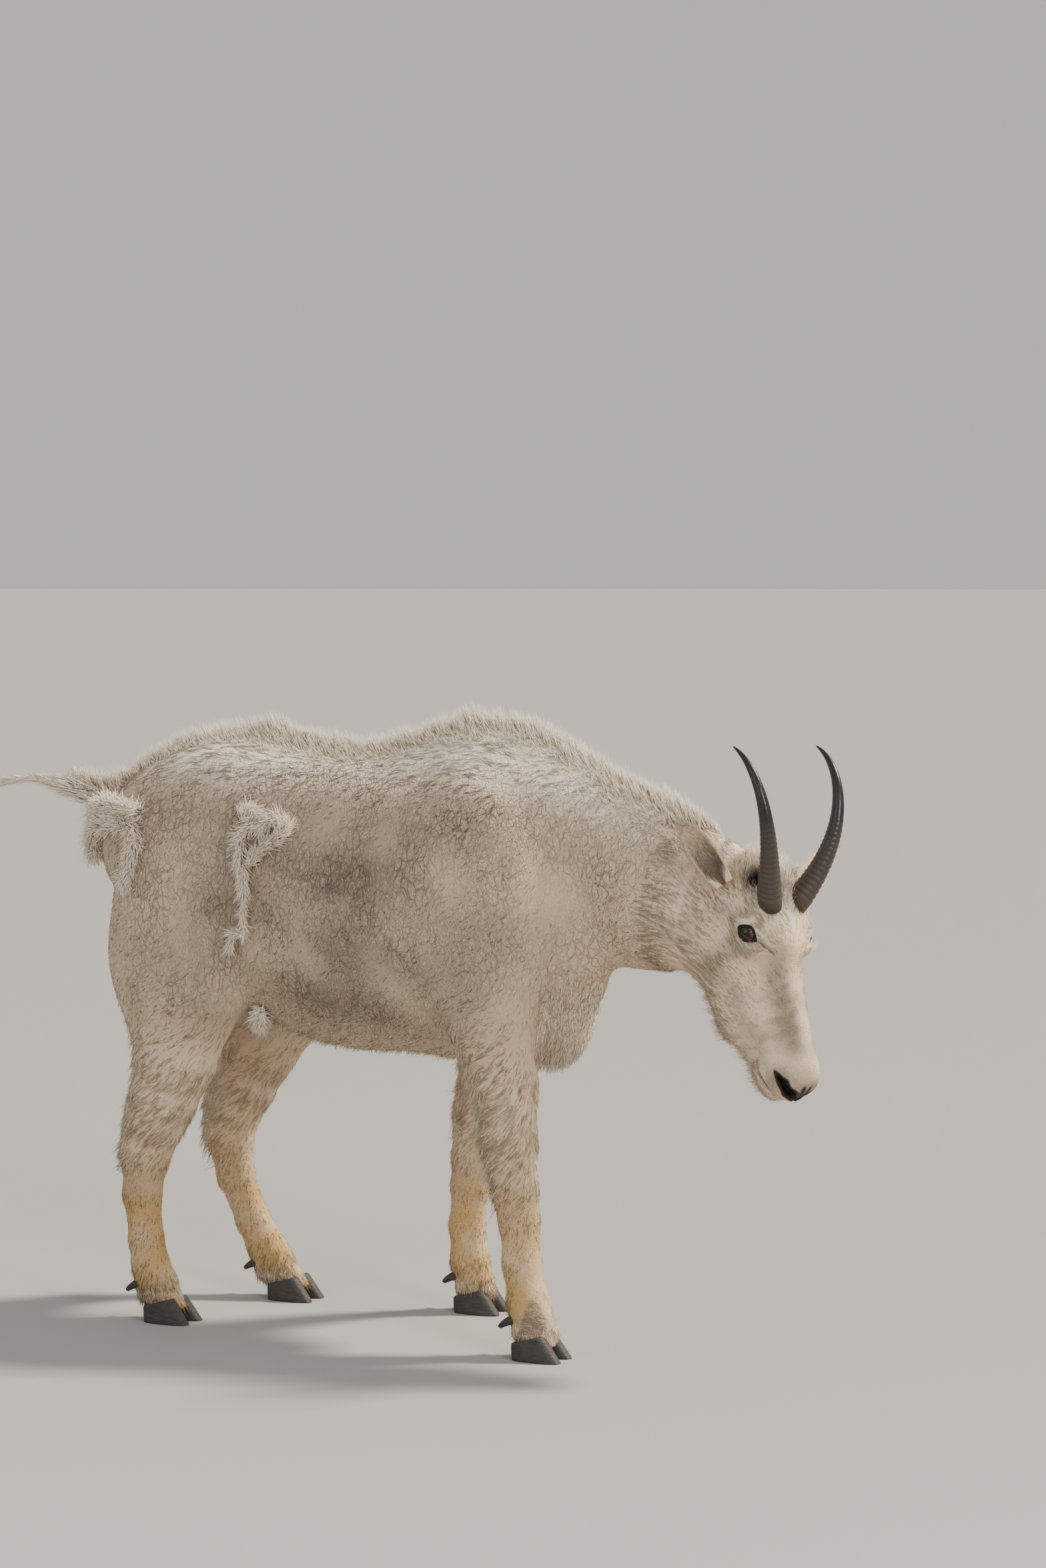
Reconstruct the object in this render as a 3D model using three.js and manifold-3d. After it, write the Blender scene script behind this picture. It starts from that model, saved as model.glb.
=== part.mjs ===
// Mountain goat, life size, standing with its head low and turned to its right, in a short summer coat.
// Millimetres. +X is forward, +Y is the goat's left, +Z is up and the floor is z = 0.
// The body is a field of smoothly blended masses. Each part of it is a shell cast from that field,
// which is then cut from its neighbours with a thin gap.
import * as THREE from "three";
import Module from "manifold-3d";

// Gaps and cuts
const GAP = 0.3;
const SPARE = 55; // how far a shell runs past its cut before it is trimmed
const NECK_CUT = { x: 105, z: 880, lean: 19 }; // lean in degrees from upright
const HEAD_CUT = { x: 322, y: -8, z: 650, yaw: -24, pitch: -10 };
const TAIL_CUT = -668;
const FORE_CUT = { z: 412, y: 58 };
const HIND_CUT = { x: -330, z: 415, slope: 32.5 };
const KNEE = 196; // height of the cut through each knee
const HOCK = 262;

// Coat: the brush of hair along the back and neck stands on a low core, and its locks reach past it
const CREST = { height: 26, step: 39, wide: 18, thick: 5, apart: 8, lean: 14 };
const TAIL = { locks: 11, length: 44, wide: 6, thick: 2.5 };
const JAW = { locks: 7, length: 24, wide: 7, thick: 2.5 };
const CHEST = { locks: 6, length: 34, wide: 12, thick: 4 };

// Legs: heights and half thicknesses down the leg, and where each leg stands
const FORE_LEG = {
  z: [470, 400, 315, 240, 198, 134, 80, 44, 12],
  r: [70, 56, 47, 39, 35, 33, 35, 34, 31],
  flat: 0.88,
  knee: KNEE,
  right: { x: [60, 81, 86, 99, 107, 113, 124, 135, 144], y: [-112, -144] },
  left: { x: [-32, -50, -74, -89, -96, -103, -100, -92, -86], y: [112, 137] },
};
const HIND_LEG = {
  z: [480, 400, 335, 300, 255, 190, 120, 84, 56, 14],
  r: [85, 68, 57, 52, 45, 35, 32, 34, 36, 33],
  flat: 0.84,
  knee: HOCK,
  right: { x: [-468, -478, -500, -514, -528, -533, -524, -516, -504, -480], y: [-105, -128] },
  left: { x: [-402, -448, -480, -497, -506, -496, -466, -446, -429, -396], y: [98, 108] },
};

// Head: where it sits on the neck, in its own frame (x to the nose, y left, z out of the forehead)
const HEAD = { x: 472, y: -60, z: 611, yaw: -31, pitch: 58, roll: -2 };
const EYE = { centre: [-10, 46, 10], radius: 17, gaze: [0.25, 0.83, 0.5], roll: 26 };
const HORN = {
  base: [-42.6, 28.6, 56],
  length: 249,
  radius: 17.5,
  lean: 29, // degrees back from the forehead's normal at the base
  curl: [27.7, 68.8], // how the lean grows along the horn, straight and squared
  spread: [22.9, -23.6],
};
const EAR = {
  base: [-92, 60, 12],
  length: 102,
  width: 42,
  stem: 13,
  right: { way: [-61, -48, 20], open: [0.55, -0.6, 0.5] }, // in the head's frame
  left: { way: [-36, 88, 18], open: [0.7, 0.3, -0.3] },
};

const deg = THREE.MathUtils.degToRad;
const lerp = THREE.MathUtils.lerp;

// Smooth shapes

// A solid oval with its own tilt in the side view.
function oval(cx, cy, cz, rx, ry, rz, tilt = 0) {
  const c = Math.cos(deg(tilt));
  const s = Math.sin(deg(tilt));
  return (x, y, z) => {
    const dx = x - cx;
    const dz = z - cz;
    const u = (c * dx + s * dz) / rx;
    const v = (y - cy) / ry;
    const w = (c * dz - s * dx) / rz;
    const k = Math.hypot(u, v, w);
    return k < 1e-6 ? -Math.min(rx, ry, rz) : (k * (k - 1)) / Math.hypot(u / rx, v / ry, w / rz);
  };
}

// A round limb that tapers from one point to another, narrowed sideways by flat.
function limb(a, b, ra, rb, flat = 1) {
  const ab = [b[0] - a[0], (b[1] - a[1]) / flat, b[2] - a[2]];
  const square = ab[0] ** 2 + ab[1] ** 2 + ab[2] ** 2;
  return (x, y, z) => {
    const px = x - a[0];
    const py = (y - a[1]) / flat;
    const pz = z - a[2];
    const along = (px * ab[0] + py * ab[1] + pz * ab[2]) / square;
    const t = Math.min(1, Math.max(0, along));
    return Math.hypot(px - t * ab[0], py - t * ab[1], pz - t * ab[2]) - lerp(ra, rb, t);
  };
}

// Both sides at once.
const paired = (shape) => (x, y, z) => shape(x, Math.abs(y), z);

// Joins masses with a soft crease of width k.
function blend(k, ...shapes) {
  return (x, y, z) => {
    let d = shapes[0](x, y, z);
    for (let i = 1; i < shapes.length; i++) {
      const e = shapes[i](x, y, z);
      const h = Math.max(k - Math.abs(d - e), 0) / k;
      d = Math.min(d, e) - (h * h * k) / 4;
    }
    return d;
  };
}

// The head's frame
const headFrame = new THREE.Matrix4()
  .makeRotationFromEuler(new THREE.Euler(deg(HEAD.roll), deg(HEAD.pitch), deg(HEAD.yaw), "ZYX"))
  .setPosition(HEAD.x, HEAD.y, HEAD.z);
const toHead = headFrame.clone().invert();
const probe = new THREE.Vector3();
function inHead(shape) {
  return (x, y, z) => {
    probe.set(x, y, z).applyMatrix4(toHead);
    return shape(probe.x, probe.y, probe.z);
  };
}

// Legs as chains of limbs
function legPath(kind, side) {
  const { x, y } = kind[side];
  const top = kind.z[0];
  const bottom = kind.z[kind.z.length - 1];
  return kind.z.map((z, i) => ({
    point: [x[i], lerp(y[1], y[0], (z - bottom) / (top - bottom)), z],
    radius: kind.r[i],
  }));
}
function legMass(kind, side) {
  const path = legPath(kind, side);
  const limbs = path.slice(1).map((to, i) => {
    const from = path[i];
    return limb(from.point, to.point, from.radius, to.radius, kind.flat);
  });
  return blend(12, ...limbs);
}

const body = blend(
  64,
  oval(-190, 0, 640, 330, 168, 230),
  oval(6, 0, 648, 200, 146, 246),
  oval(0, 0, 792, 175, 52, 112),
  oval(-425, 0, 728, 210, 140, 165),
  oval(-545, 0, 712, 112, 98, 106),
  oval(124, 0, 504, 70, 68, 98),
);
const shoulders = blend(
  40,
  oval(30, -96, 640, 100, 56, 190, 12),
  oval(0, 96, 640, 100, 56, 190, 8),
);
const thighs = blend(
  30,
  oval(-478, -94, 580, 128, 64, 178, -8),
  oval(-440, 92, 580, 128, 64, 178, -8),
);
const neck = blend(
  50,
  limb([110, 0, 715], [250, -6, 682], 152, 122, 0.62),
  limb([250, -6, 682], [372, -32, 652], 120, 92, 0.66),
);
const tail = limb([-600, 0, 775], [-706, 0, 796], 36, 24, 0.9);
const CREST_LINE = [
  { at: [-610, 0, 800], radius: 3 },
  { at: [-500, 0, 855], radius: 7 },
  { at: [-366, 0, 890], radius: 11 },
  { at: [-180, 0, 852], radius: 11 },
  { at: [-30, 0, 896], radius: 18 },
  { at: [70, 0, 882], radius: 19 },
  { at: [195, -4, 818], radius: 19 },
  { at: [304, -16, 770], radius: 15 },
  { at: [395, -34, 735], radius: 7 },
];
const crestLine = blend(
  30,
  ...CREST_LINE.slice(1).map((to, i) => {
    const from = CREST_LINE[i];
    return limb(from.at, to.at, from.radius, to.radius, 0.8);
  }),
);
const skull = blend(
  26,
  oval(-62, 0, 0, 70, 58, 60),
  oval(-22, 0, 20, 58, 46, 34),
  paired(oval(-4, 46, 8, 32, 20, 24)),
  limb([10, 0, 4], [178, 0, -30], 34, 23, 0.9),
  paired(limb([10, 22, -44], [165, 12, -52], 42, 25)),
  paired(limb([-66, 24, -92], [70, 18, -104], 40, 31)),
  limb([70, 0, -104], [176, 0, -98], 36, 20, 0.95),
  paired(oval(-38, 36, -62, 62, 26, 60)),
);
const muzzle = blend(
  9,
  oval(186, 0, -50, 32, 33, 32),
  oval(186, 0, -72, 30, 29, 16),
  oval(168, 0, -98, 30, 23, 18),
);
const head = inHead(blend(18, skull, muzzle));

const legs = [
  ["foreleg_right", FORE_LEG, "right"],
  ["foreleg_left", FORE_LEG, "left"],
  ["hindleg_right", HIND_LEG, "right"],
  ["hindleg_left", HIND_LEG, "left"],
].map(([name, kind, side]) => ({ name, kind, side, mass: legMass(kind, side) }));

const trunk = blend(44, body, shoulders, thighs, neck, tail, ...legs.map((leg) => leg.mass));
const goatField = blend(34, blend(24, trunk, crestLine), head);

// Shells: rings of rays cast from inside the field out to its surface
function castRay(from, direction, region) {
  const at = (t) => {
    const x = from[0] + direction[0] * t;
    const y = from[1] + direction[1] * t;
    const z = from[2] + direction[2] * t;
    return Math.max(goatField(x, y, z), region(x, y, z));
  };
  let t = 0;
  let depth = at(0);
  while (depth < 0 && t < 600) {
    t += Math.max(1.5, -depth * 0.5);
    depth = at(t);
  }
  let low = Math.max(0, t - Math.max(1.5, 40));
  while (low > 0 && at(low) > 0) low = Math.max(0, low - 20);
  let high = t;
  for (let i = 0; i < 24; i++) {
    const middle = (low + high) / 2;
    if (at(middle) < 0) low = middle;
    else high = middle;
  }
  return [0, 1, 2].map((k) => from[k] + direction[k] * high);
}

// One closed shell along a line of centres. side and up span each ring; the ends are domed.
function castShell(centres, side, up, region, { around, dome = 0 }) {
  const forward = new THREE.Vector3().crossVectors(side, up).normalize();
  const ring = (centre, tilt) =>
    Array.from({ length: around }, (_, i) => {
      const angle = (2 * Math.PI * i) / around;
      const d = side
        .clone()
        .multiplyScalar(Math.cos(angle))
        .addScaledVector(up, Math.sin(angle))
        .multiplyScalar(Math.cos(tilt))
        .addScaledVector(forward, Math.sin(tilt));
      return castRay(centre, d.toArray(), region);
    });
  const tilts = Array.from({ length: dome }, (_, i) => (Math.PI / 2) * ((i + 1) / (dome + 1)));
  const first = centres[0];
  const last = centres[centres.length - 1];
  const rings = [
    ...tilts.toReversed().map((tilt) => ring(first, -tilt)),
    ...centres.map((centre) => ring(centre, 0)),
    ...tilts.map((tilt) => ring(last, tilt)),
  ];
  const pole = (centre, sign) =>
    dome ? castRay(centre, forward.clone().multiplyScalar(sign).toArray(), region) : centre;
  return loft(rings, pole(first, -1), pole(last, 1));
}

// A closed solid from rings of points with a point at each end.
function loft(rings, start, end) {
  const around = rings[0].length;
  const points = [...rings.flat(), start, end];
  const first = points.length - 2;
  const last = points.length - 1;
  const faces = [];
  for (let j = 0; j < around; j++) {
    const k = (j + 1) % around;
    faces.push([first, k, j]);
    for (let i = 0; i + 1 < rings.length; i++) {
      const a = i * around;
      const b = a + around;
      faces.push([a + j, a + k, b + k], [a + j, b + k, b + j]);
    }
    const tip = (rings.length - 1) * around;
    faces.push([last, tip + j, tip + k]);
  }
  return facing(points, faces);
}

const wasm = await Module();
wasm.setup();

// A solid from points and triangles, turned so that its faces point out.
function facing(points, faces) {
  let volume = 0;
  for (const [a, b, c] of faces) {
    const [p, q, r] = [points[a], points[b], points[c]];
    volume +=
      p[0] * (q[1] * r[2] - q[2] * r[1]) +
      p[1] * (q[2] * r[0] - q[0] * r[2]) +
      p[2] * (q[0] * r[1] - q[1] * r[0]);
  }
  const outward = volume > 0 ? faces.flat() : faces.flatMap(([a, b, c]) => [a, c, b]);
  const triVerts = Uint32Array.from(outward);
  const vertProperties = Float32Array.from(points.flat());
  return new wasm.Manifold(new wasm.Mesh({ numProp: 3, vertProperties, triVerts }));
}

// A tapered tube along points, each with a half width and a half thickness.
function tube(stations, side, around = 8) {
  const centres = stations.map((s) => new THREE.Vector3(...s.point));
  const rings = stations.map((s, i) => {
    const tangent = centres[Math.min(i + 1, centres.length - 1)]
      .clone()
      .sub(centres[Math.max(i - 1, 0)])
      .normalize();
    const across = side.clone().addScaledVector(tangent, -side.dot(tangent)).normalize();
    const over = new THREE.Vector3().crossVectors(tangent, across);
    return Array.from({ length: around }, (_, k) => {
      const angle = (2 * Math.PI * k) / around;
      return centres[i]
        .clone()
        .addScaledVector(across, Math.cos(angle) * s.wide)
        .addScaledVector(over, Math.sin(angle) * s.thick)
        .toArray();
    });
  });
  return loft(rings, centres[0].toArray(), centres[centres.length - 1].toArray());
}

// Keeps the side of a plane that its normal points to, less half the gap.
function keep(solid, normal, point, inset = GAP / 2) {
  const offset = normal.reduce((sum, n, k) => sum + n * point[k], 0);
  return solid.trimByPlane(normal, offset + inset);
}
const minus = (v) => v.map((c) => -c);
const largest = (solid) => solid.decompose().reduce((a, b) => (b.volume() > a.volume() ? b : a));

// A signed distance past a plane, for the region of a shell.
const beyond = (normal, point) => (x, y, z) =>
  -(normal[0] * (x - point[0]) + normal[1] * (y - point[1]) + normal[2] * (z - point[2])) - SPARE;
const within = (...regions) => (x, y, z) => Math.max(...regions.map((region) => region(x, y, z)));

const SIDE = new THREE.Vector3(0, 1, 0);
const UP = new THREE.Vector3(0, 0, 1);
const FORWARD = new THREE.Vector3(1, 0, 0);

// The planes of the cuts, each normal pointing away from the torso
const neckNormal = [Math.cos(deg(NECK_CUT.lean)), 0, Math.sin(deg(NECK_CUT.lean))];
const neckPoint = [NECK_CUT.x, 0, NECK_CUT.z];
const headNormal = new THREE.Vector3(1, 0, 0)
  .applyEuler(new THREE.Euler(0, -deg(HEAD_CUT.pitch), deg(HEAD_CUT.yaw), "ZYX"))
  .toArray();
const headPoint = [HEAD_CUT.x, HEAD_CUT.y, HEAD_CUT.z];
const hindNormal = [-Math.sin(deg(HIND_CUT.slope)), 0, -Math.cos(deg(HIND_CUT.slope))];
const hindPoint = [HIND_CUT.x, 0, HIND_CUT.z];
const tailNormal = [-1, 0, 0];
const tailPoint = [TAIL_CUT, 0, 0];

// A box from two corners, as a solid.
function box(low, high) {
  const size = high.map((h, i) => h - low[i]);
  const geometry = new THREE.BoxGeometry(...size).translate(...low.map((l, i) => l + size[i] / 2));
  return fromGeometry(geometry);
}
function fromGeometry(geometry) {
  const position = geometry.getAttribute("position");
  const index = geometry.index.array;
  const seen = new Map();
  const points = [];
  const shared = Array.from({ length: position.count }, (_, i) => {
    const point = [position.getX(i), position.getY(i), position.getZ(i)];
    const key = point.map((c) => c.toFixed(4)).join();
    if (!seen.has(key)) seen.set(key, points.push(point) - 1);
    return seen.get(key);
  });
  const faces = [];
  for (let i = 0; i < index.length; i += 3) {
    const face = [0, 1, 2].map((k) => shared[index[i + k]]);
    if (new Set(face).size === 3) faces.push(face);
  }
  return facing(points, faces);
}

const goat = new THREE.Group();
goat.name = "mountain_goat";
function add(name, solid, material) {
  const { vertProperties, triVerts } = solid.getMesh();
  const geometry = new THREE.BufferGeometry();
  geometry.setAttribute("position", new THREE.BufferAttribute(new Float32Array(vertProperties), 3));
  geometry.setIndex(new THREE.BufferAttribute(new Uint32Array(triVerts), 1));
  geometry.computeVertexNormals();
  const mesh = new THREE.Mesh(geometry, material);
  mesh.name = name;
  goat.add(mesh);
}
const coat = new THREE.MeshStandardMaterial({ color: 0xd9cbb4, roughness: 0.95, metalness: 0 });
const legCoat = new THREE.MeshStandardMaterial({ color: 0xc7ab7c, roughness: 0.95, metalness: 0 });
const hornBlack = new THREE.MeshStandardMaterial({ color: 0x2a2523, roughness: 0.35, metalness: 0 });
const hoofGrey = new THREE.MeshStandardMaterial({ color: 0x3c3a3a, roughness: 0.7, metalness: 0 });
const eyeBrown = new THREE.MeshStandardMaterial({ color: 0x1d120c, roughness: 0.05, metalness: 0 });

// A line of centres in equal steps.
function along(from, to, count) {
  return Array.from({ length: count }, (_, i) => from.map((c, k) => lerp(c, to[k], i / (count - 1))));
}

// Locks of long hair: flat, tapered and bent, each with its root sunk in the node it grows from
const random = (() => {
  let seed = 7;
  return (low, high) => {
    seed = (seed * 16807) % 2147483647;
    return lerp(low, high, seed / 2147483647);
  };
})();
const anywhere = () => -Infinity;

// root is on the surface, out points away from it, and the lock turns from out towards fall.
function lock({ root, out, fall, length, wide, thick, across }) {
  const stations = [-0.4, 0.12, 0.6, 1].map((s) => {
    const reach = length * Math.max(s, 0);
    const rise = s < 0 ? s * length : reach * (1 - 0.3 * s);
    const point = root.map((c, k) => c + out[k] * rise + fall[k] * reach * s * 0.6);
    const taper = s < 0 ? 0.8 : (1 - s) ** 0.7 + 0.06;
    return { point, wide: wide * taper, thick: thick * taper };
  });
  return tube(stations, across, 4);
}

function crestLocks(belongs) {
  const locks = [];
  CREST_LINE.slice(1).forEach((to, i) => {
    const from = CREST_LINE[i];
    const span = Math.hypot(...to.at.map((c, k) => c - from.at[k]));
    const count = Math.round(span / CREST.step);
    for (let j = 0; j < count; j++) {
      for (const row of [-1, 1]) {
        const t = (j + (row > 0 ? 0.5 : 0)) / count;
        const middle = from.at.map((c, k) => lerp(c, to.at[k], t));
        const lean = deg(CREST.lean + random(-7, 7));
        const side = row * CREST.apart + random(-2, 2);
        const inside = [middle[0], middle[1] + side, middle[2] - 60];
        const root = castRay(inside, [0, 0, 1], anywhere);
        const out = [-Math.sin(lean), row * 0.16, Math.cos(lean)];
        const length = CREST.height * random(0.85, 1.15) * (i ? 1 : lerp(0.6, 1, t));
        const wide = CREST.wide * random(0.9, 1.1);
        const spec = { root, out, fall: [-0.6, 0.1 * row, 0.1], length, wide, thick: CREST.thick };
        if (belongs(root)) locks.push(lock({ ...spec, across: FORWARD }));
      }
    }
  });
  return locks;
}
const before = (normal, point) => (p) => normal.reduce((sum, n, k) => sum + n * (p[k] - point[k]), 0) < 0;
const fuse = (solid, locks) => locks.reduce((all, item) => all.add(item), solid);

// Torso
const FORE_BLOCK = { back: -170, front: 260, out: 300 };
const forePast = (x, y, z) =>
  Math.max(z - FORE_CUT.z, FORE_CUT.y - Math.abs(y), FORE_BLOCK.back - x, x - FORE_BLOCK.front);
function foreBlock(sign, grow) {
  const inner = sign * (FORE_CUT.y - grow);
  const outer = sign * FORE_BLOCK.out;
  return box(
    [FORE_BLOCK.back - grow, Math.min(inner, outer), -SPARE],
    [FORE_BLOCK.front + grow, Math.max(inner, outer), FORE_CUT.z + grow],
  );
}
const torsoRegion = within(
  beyond(minus(neckNormal), neckPoint),
  beyond(minus(hindNormal), hindPoint),
  beyond(minus(tailNormal), tailPoint),
  (x, y, z) => -forePast(x, y, z) - SPARE,
);
function chestLocks() {
  return Array.from({ length: CHEST.locks }, (_, i) => {
    const t = i / (CHEST.locks - 1);
    const y = (i % 2 ? 1 : -1) * lerp(6, 18, random(0, 1));
    const inside = [lerp(36, 150, t), y, 520];
    const root = castRay(inside, [0, 0, -1], anywhere);
    const length = CHEST.length * random(0.8, 1.1) * (1 - 0.4 * Math.abs(t - 0.6));
    const spec = { root, out: [0.1, 0, -1], fall: [-0.7, 0, -0.5], length };
    return lock({ ...spec, wide: CHEST.wide, thick: CHEST.thick, across: SIDE });
  });
}
function makeTorso() {
  const centres = along([-585, 0, 715], [165, 0, 630], 20);
  let solid = castShell(centres, SIDE, UP, torsoRegion, { around: 32, dome: 5 });
  solid = fuse(solid, [...crestLocks(before(neckNormal, neckPoint)), ...chestLocks()]);
  solid = keep(solid, minus(neckNormal), neckPoint);
  solid = keep(solid, minus(hindNormal), hindPoint);
  solid = keep(solid, minus(tailNormal), tailPoint);
  for (const sign of [-1, 1]) solid = solid.subtract(foreBlock(sign, GAP / 2));
  return largest(solid);
}

// Neck
function makeNeck() {
  const up = new THREE.Vector3(-neckNormal[2], 0, neckNormal[0]);
  const region = within(beyond(neckNormal, neckPoint), beyond(minus(headNormal), headPoint));
  const centres = along([150, -4, 700], [335, -26, 652], 8);
  let solid = castShell(centres, SIDE, up, region, { around: 28, dome: 4 });
  const mine = (p) => !before(neckNormal, neckPoint)(p) && before(headNormal, headPoint)(p);
  solid = fuse(solid, crestLocks(mine));
  solid = keep(solid, neckNormal, neckPoint);
  return largest(keep(solid, minus(headNormal), headPoint));
}

// Legs
const hindPast = (x, y, z) =>
  -(hindNormal[0] * (x - hindPoint[0]) + hindNormal[2] * (z - hindPoint[2]));
function legShell(leg) {
  const fore = leg.kind === FORE_LEG;
  const sign = leg.side === "left" ? 1 : -1;
  const midline = (x, y, z) => -sign * y - SPARE;
  const region = fore
    ? (x, y, z) => Math.max(forePast(x, y, z) - SPARE, -z - SPARE)
    : within((x, y, z) => hindPast(x, y, z) - SPARE, midline, (x, y, z) => -z - SPARE);
  const path = legPath(leg.kind, leg.side).map(({ point }) => point);
  const top = fore ? FORE_CUT.z + SPARE / 2 : 540;
  const count = fore ? 17 : 19;
  const centres = Array.from({ length: count }, (_, i) => {
    const z = lerp(top, path[path.length - 1][2], i / (count - 1));
    const k = Math.max(1, path.findIndex((point) => point[2] <= z));
    const [from, to] = [path[k - 1], path[k]];
    const t = (z - from[2]) / (to[2] - from[2]);
    return [lerp(from[0], to[0], Math.max(t, 0)), lerp(from[1], to[1], t), z];
  });
  return castShell(centres, SIDE, FORWARD, region, { around: 16 });
}
// The slope of the coronet, where the hair ends above the hoof
const CORONET = { z: 34, slope: 16 };
const coronetNormal = [-Math.sin(deg(CORONET.slope)), 0, Math.cos(deg(CORONET.slope))];
function footOf(leg) {
  const path = legPath(leg.kind, leg.side);
  const [x, y] = path[path.length - 1].point;
  return [x, y, 0];
}
const FOOT = { length: 80, width: 30, cleft: 3 };
function makeLeg(leg) {
  const foot = footOf(leg);
  const coronet = [foot[0], foot[1], CORONET.z];
  let solid = legShell(leg);
  const sign = leg.side === "left" ? 1 : -1;
  if (leg.kind === FORE_LEG) solid = solid.intersect(foreBlock(sign, -GAP / 2));
  else {
    solid = keep(solid, hindNormal, hindPoint);
    solid = keep(solid, [0, sign, 0], [0, 0, 0]);
  }
  solid = largest(keep(solid, coronetNormal, coronet));
  const claws = dewclawsOf(leg);
  const below = keep(solid, [0, 0, -1], [0, 0, leg.kind.knee]);
  const lower = claws.reduce((rest, claw) => rest.subtract(claw.socket), below);
  add(`${leg.name}_upper`, largest(keep(solid, [0, 0, 1], [0, 0, leg.kind.knee])), coat);
  add(`${leg.name}_lower`, largest(lower), legCoat);
  claws.forEach(({ name, solid: claw }) => add(name, claw, hoofGrey));
}

// Hooves: two claws to a foot, each a stack of rounded outlines that narrows towards the coronet
function clawRing(foot, sign, z) {
  const rise = z / CORONET.z;
  const front = FOOT.length * lerp(0.56, 0.24, rise);
  const rear = -FOOT.length * lerp(0.42, 0.44, Math.min(rise, 1));
  const width = FOOT.width * lerp(1, 0.9, rise);
  const count = 14;
  return Array.from({ length: count }, (_, i) => {
    const angle = (2 * Math.PI * i) / count;
    const c = Math.cos(angle);
    const s = Math.sin(angle);
    const round = (v, power) => Math.sign(v) * Math.abs(v) ** power;
    const u = lerp(rear, front, (round(c, 0.75) + 1) / 2);
    const narrow = 1 - 0.32 * Math.max(0, (u - 0.1 * front) / front) ** 2;
    const out = s > 0 ? round(s, 0.6) : round(s, 0.35);
    const v = FOOT.cleft + width / 2 + (width / 2) * out * narrow;
    const splay = 0.035 * (u - rear);
    return [foot[0] + u, foot[1] + sign * (v + splay), z];
  });
}
function makeHooves(leg) {
  const foot = footOf(leg);
  const coronet = [foot[0], foot[1], CORONET.z];
  for (const [name, sign] of [["a", -1], ["b", 1]]) {
    const rings = [0, 8, 22, 36, 52].map((z) => clawRing(foot, sign, z));
    const ends = [rings[0], rings[rings.length - 1]].map((ring) =>
      [0, 1, 2].map((k) => ring.reduce((sum, point) => sum + point[k], 0) / ring.length),
    );
    add(`hoof_${leg.name}_${name}`, keep(loft(rings, ...ends), minus(coronetNormal), coronet), hoofGrey);
  }
}

// Dewclaws: two small horns behind each fetlock
const DEWCLAW = { z: 56, back: 27, apart: 13, length: 25, radius: 9.5 };
function dewclawsOf(leg) {
  const path = legPath(leg.kind, leg.side);
  const k = path.findIndex(({ point }) => point[2] <= DEWCLAW.z);
  const [from, to] = [path[k - 1].point, path[k].point];
  const t = (DEWCLAW.z - from[2]) / (to[2] - from[2]);
  const centre = from.map((c, i) => lerp(c, to[i], t));
  return [-1, 1].map((sign) => {
    const shape = (grow) =>
      tube(
        [0, 0.45, 0.8, 1].map((s) => ({
          point: [
            centre[0] - DEWCLAW.back + 8 - DEWCLAW.length * s,
            centre[1] + sign * (DEWCLAW.apart + 3 * s),
            DEWCLAW.z - 12 * s * s,
          ],
          wide: DEWCLAW.radius * (1 - 0.5 * s * s) + grow,
          thick: DEWCLAW.radius * 0.8 * (1 - 0.55 * s * s) + grow,
        })),
        SIDE,
        8,
      );
    return { name: `dewclaw_${leg.name}_${sign < 0 ? "a" : "b"}`, solid: shape(0), socket: shape(GAP) };
  });
}

// Tail
const TAIL_HAIR = [
  [-640, 785, 30],
  [-672, 787, 25],
  [-700, 795, 23],
  [-722, 802, 25],
  [-738, 803, 16],
  [-756, 806, 9],
  [-790, 812, 6.5],
  [-830, 810, 4.5],
  [-861, 806, 1.2],
];
function makeTail() {
  const core = (r) => (r > 12 ? r * 0.62 : r * 0.8);
  let solid = tube(
    TAIL_HAIR.map(([x, z, r]) => ({ point: [x, 0, z], wide: core(r) * 0.85, thick: core(r) })),
    SIDE,
    10,
  );
  const locks = Array.from({ length: TAIL.locks }, (_, i) => {
    const t = i / (TAIL.locks - 1);
    const angle = i * 2.4;
    const x = lerp(-676, -732, t);
    const out = [-0.55, Math.cos(angle) * 0.8, Math.sin(angle) * 0.8];
    const reach = lerp(13, 9, t);
    const root = [x, out[1] * reach, lerp(788, 802, t) + out[2] * reach];
    const across = new THREE.Vector3(0, -Math.sin(angle), Math.cos(angle));
    const length = TAIL.length * random(0.7, 1.1);
    return lock({ root, out, fall: [-1, 0, 0.1], length, wide: TAIL.wide, thick: TAIL.thick, across });
  });
  solid = fuse(solid, locks);
  return largest(keep(solid, tailNormal, tailPoint));
}

// Head
const headPoint3 = (p) => new THREE.Vector3(...p).applyMatrix4(headFrame).toArray();
const headAxis = (v) => new THREE.Vector3(...v).transformDirection(headFrame);
const fromHead = (solid) => solid.transform(headFrame.toArray());

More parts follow.
